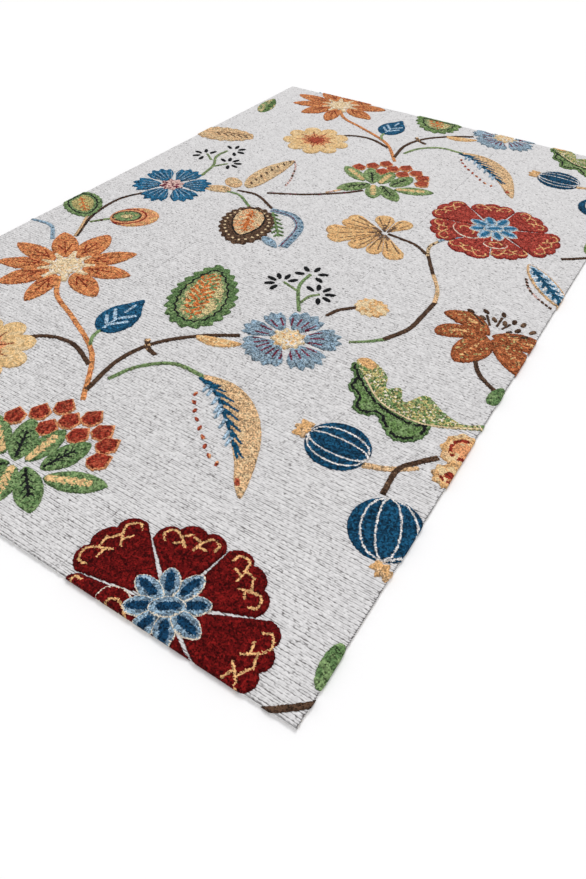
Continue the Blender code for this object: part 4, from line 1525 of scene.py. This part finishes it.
def floor_material():
    """Plain pale floor."""
    material, tree, shader = node_material("studio_floor", 1.0, 0.0)
    shader.inputs["Specular IOR Level"].default_value = 0.0
    grain = add_node(tree, "TexNoise", {"Scale": 3}).outputs["Fac"]
    tree.links.new(blend(tree, grain, FLOOR_DARK, FLOOR_LIGHT), shader.inputs["Base Color"])
    return material


def ground_tiles(rings):
    """The loop pile in tiles: rows of joined crests along X with furrows between them, none under motifs."""
    span_x = HALF_X + OVER_EDGE
    span_y = HALF_Y + OVER_EDGE
    count_x = round(2 * span_x / LOOP_PITCH_X)
    count_y = round(2 * span_y / LOOP_PITCH_Y)
    edge_x = np.linspace(-span_x, span_x, count_x + 1)
    edge_y = np.linspace(-span_y, span_y, count_y + 1)
    crest_x, crest_y = np.meshgrid((edge_x[:-1] + edge_x[1:]) / 2, (edge_y[:-1] + edge_y[1:]) / 2)
    crest = np.column_stack([crest_x.ravel(), crest_y.ravel()])
    covered = np.zeros(len(crest), bool)
    for ring in rings:
        box = np.nonzero(((crest > ring.min(0)) & (crest < ring.max(0))).all(1) & ~covered)[0]
        box = box[within(crest[box], ring)]
        if len(box):
            covered[box[distance(crest[box], ring, True) > LOOP_PITCH_X * UNDER_MOTIF]] = True
    crest += random.uniform(-LOOP_STRAY, LOOP_STRAY, crest.shape)
    crest_height = random.uniform(CREST_LOW, CREST_HIGH, len(crest))
    crest_height -= SUNK_DEPTH * (random.random(len(crest)) < SUNK_SHARE)
    valley_x, valley_y = np.meshgrid(edge_x, edge_y)
    valley = np.column_stack([valley_x.ravel(), valley_y.ravel()])
    line = np.repeat(np.arange(count_y + 1), count_x + 1)
    furrow = shares(np.column_stack([valley[:, 0], line * FURROW_RUN]), FURROW_RUN, 5)
    deep = np.where(line % 2 == 1, FURROW_DEEP, FURROW_SHALLOW) + FURROW_CHANGE * furrow
    valley_height = -LOOP_SHALLOW - (LOOP_DEPTH - LOOP_SHALLOW) * deep
    valley_height += random.uniform(-LOOP_UNEVEN, LOOP_UNEVEN, len(valley))
    inner = (np.abs(valley[:, 0]) < span_x - 1e-6) & (np.abs(valley[:, 1]) < span_y - 1e-6)
    valley[inner] += random.uniform(-VALLEY_STRAY, VALLEY_STRAY, (int(inner.sum()), 2))
    covered = covered.reshape(count_y, count_x)
    rows, columns = np.nonzero(~covered)
    tile = (columns * TILES_X // count_x) + TILES_X * (rows * TILES_Y // count_y)
    tile_of = np.full((count_y, count_x + 2), -1)
    tile_of[rows, columns + 1] = tile
    joined = tile_of[rows, columns + 1] == tile_of[rows, columns + 2]
    follows = tile_of[rows, columns + 1] == tile_of[rows, columns]
    made = []
    for number in range(TILES_X * TILES_Y):
        own = tile == number
        r = rows[own]
        c = columns[own]
        top = r * count_x + c
        corner = r * (count_x + 1) + c
        corners = [corner, corner + 1, corner + count_x + 2, corner + count_x + 1]
        used, where = np.unique(np.concatenate(corners), return_inverse=True)
        a, b, d, e = where.reshape(4, -1)
        peak = len(used) + np.arange(len(top))
        ahead = joined[own]
        first = ~follows[own]
        last = ~ahead
        pattern = np.vstack([valley[used], crest[top]])
        heights = np.concatenate([valley_height[used], crest_height[top]])
        faces = np.concatenate(
            [
                np.column_stack([a, b, peak]),
                np.column_stack([d, e, peak]),
                np.column_stack([peak, b, peak + 1])[ahead],
                np.column_stack([peak, peak + 1, d])[ahead],
                np.column_stack([b, d, peak])[last],
                np.column_stack([e, a, peak])[first],
            ]
        )
        made.append(add_piece(f"ground_{number + 1}", lay(pattern, heights), faces.tolist(), [loop_pile]))
    return made


def backing():
    """A closed slab of cloth under the pile."""
    x = HALF_X - BACKING_INSET
    y = HALF_Y - BACKING_INSET
    corners = [(-x, -y), (x, -y), (x, y), (-x, y)]
    points = np.array([(*corner, z) for z in (0.0, BACKING_HEIGHT) for corner in corners])
    faces = [(3, 2, 1, 0), (4, 5, 6, 7), (0, 1, 5, 4), (1, 2, 6, 5), (2, 3, 7, 6), (3, 0, 4, 7)]
    made = add_piece("rug_backing", points, faces, [backing_material()])
    made.data.polygons.foreach_set("use_smooth", [False] * 6)
    return made


loop_pile = ground_material()
placed_motifs = [(motif, copies_on_rug(motif)) for motif in ALL_MOTIFS]
all_rings = [ring for _, moved in placed_motifs for ring, _, _ in moved]
tiles = ground_tiles(all_rings)
flowers = [motif_mesh(motif.name, motif.rise, moved) for motif, moved in placed_motifs if moved]
cloth = backing()
for piece in [*tiles, *flowers, cloth]:
    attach(piece, "root")
    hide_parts("rug")


# Floor, light and camera
bpy.ops.mesh.primitive_plane_add(size=FLOOR_SIZE, location=(0, 0, -FLOOR_DROP))
floor = bpy.context.active_object
floor.name = "studio_floor"
floor.data.materials.append(floor_material())

world = bpy.data.worlds.new("soft_white")
world.use_nodes = True
world.node_tree.nodes["Background"].inputs["Color"].default_value = (1.0, 1.0, 1.0, 1.0)
world.node_tree.nodes["Background"].inputs["Strength"].default_value = WORLD_STRENGTH
bpy.context.scene.world = world
lamp = bpy.data.lights.new("window", "SUN")
lamp.energy = SUN_STRENGTH
lamp.angle = math.radians(SUN_SPREAD)
sun = bpy.data.objects.new("window", lamp)
sun.rotation_euler = (math.radians(SUN_TILT[0]), math.radians(SUN_TILT[1]), 0)
bpy.context.scene.collection.objects.link(sun)

forward = CAMERA_FORWARD.normalized()
right = (CAMERA_RIGHT - forward * CAMERA_RIGHT.dot(forward)).normalized()
up = right.cross(forward)
lens = bpy.data.cameras.new("camera")
lens.sensor_width = CAMERA_SENSOR
lens.lens = CAMERA_LENS
lens.shift_x, lens.shift_y = CAMERA_SHIFT
camera = bpy.data.objects.new("camera", lens)
camera.matrix_world = Matrix.Translation(CAMERA_PLACE) @ Matrix((right, up, -forward)).transposed().to_4x4()
bpy.context.scene.collection.objects.link(camera)
bpy.context.scene.camera = camera
bpy.context.scene.view_settings.view_transform = "Standard"
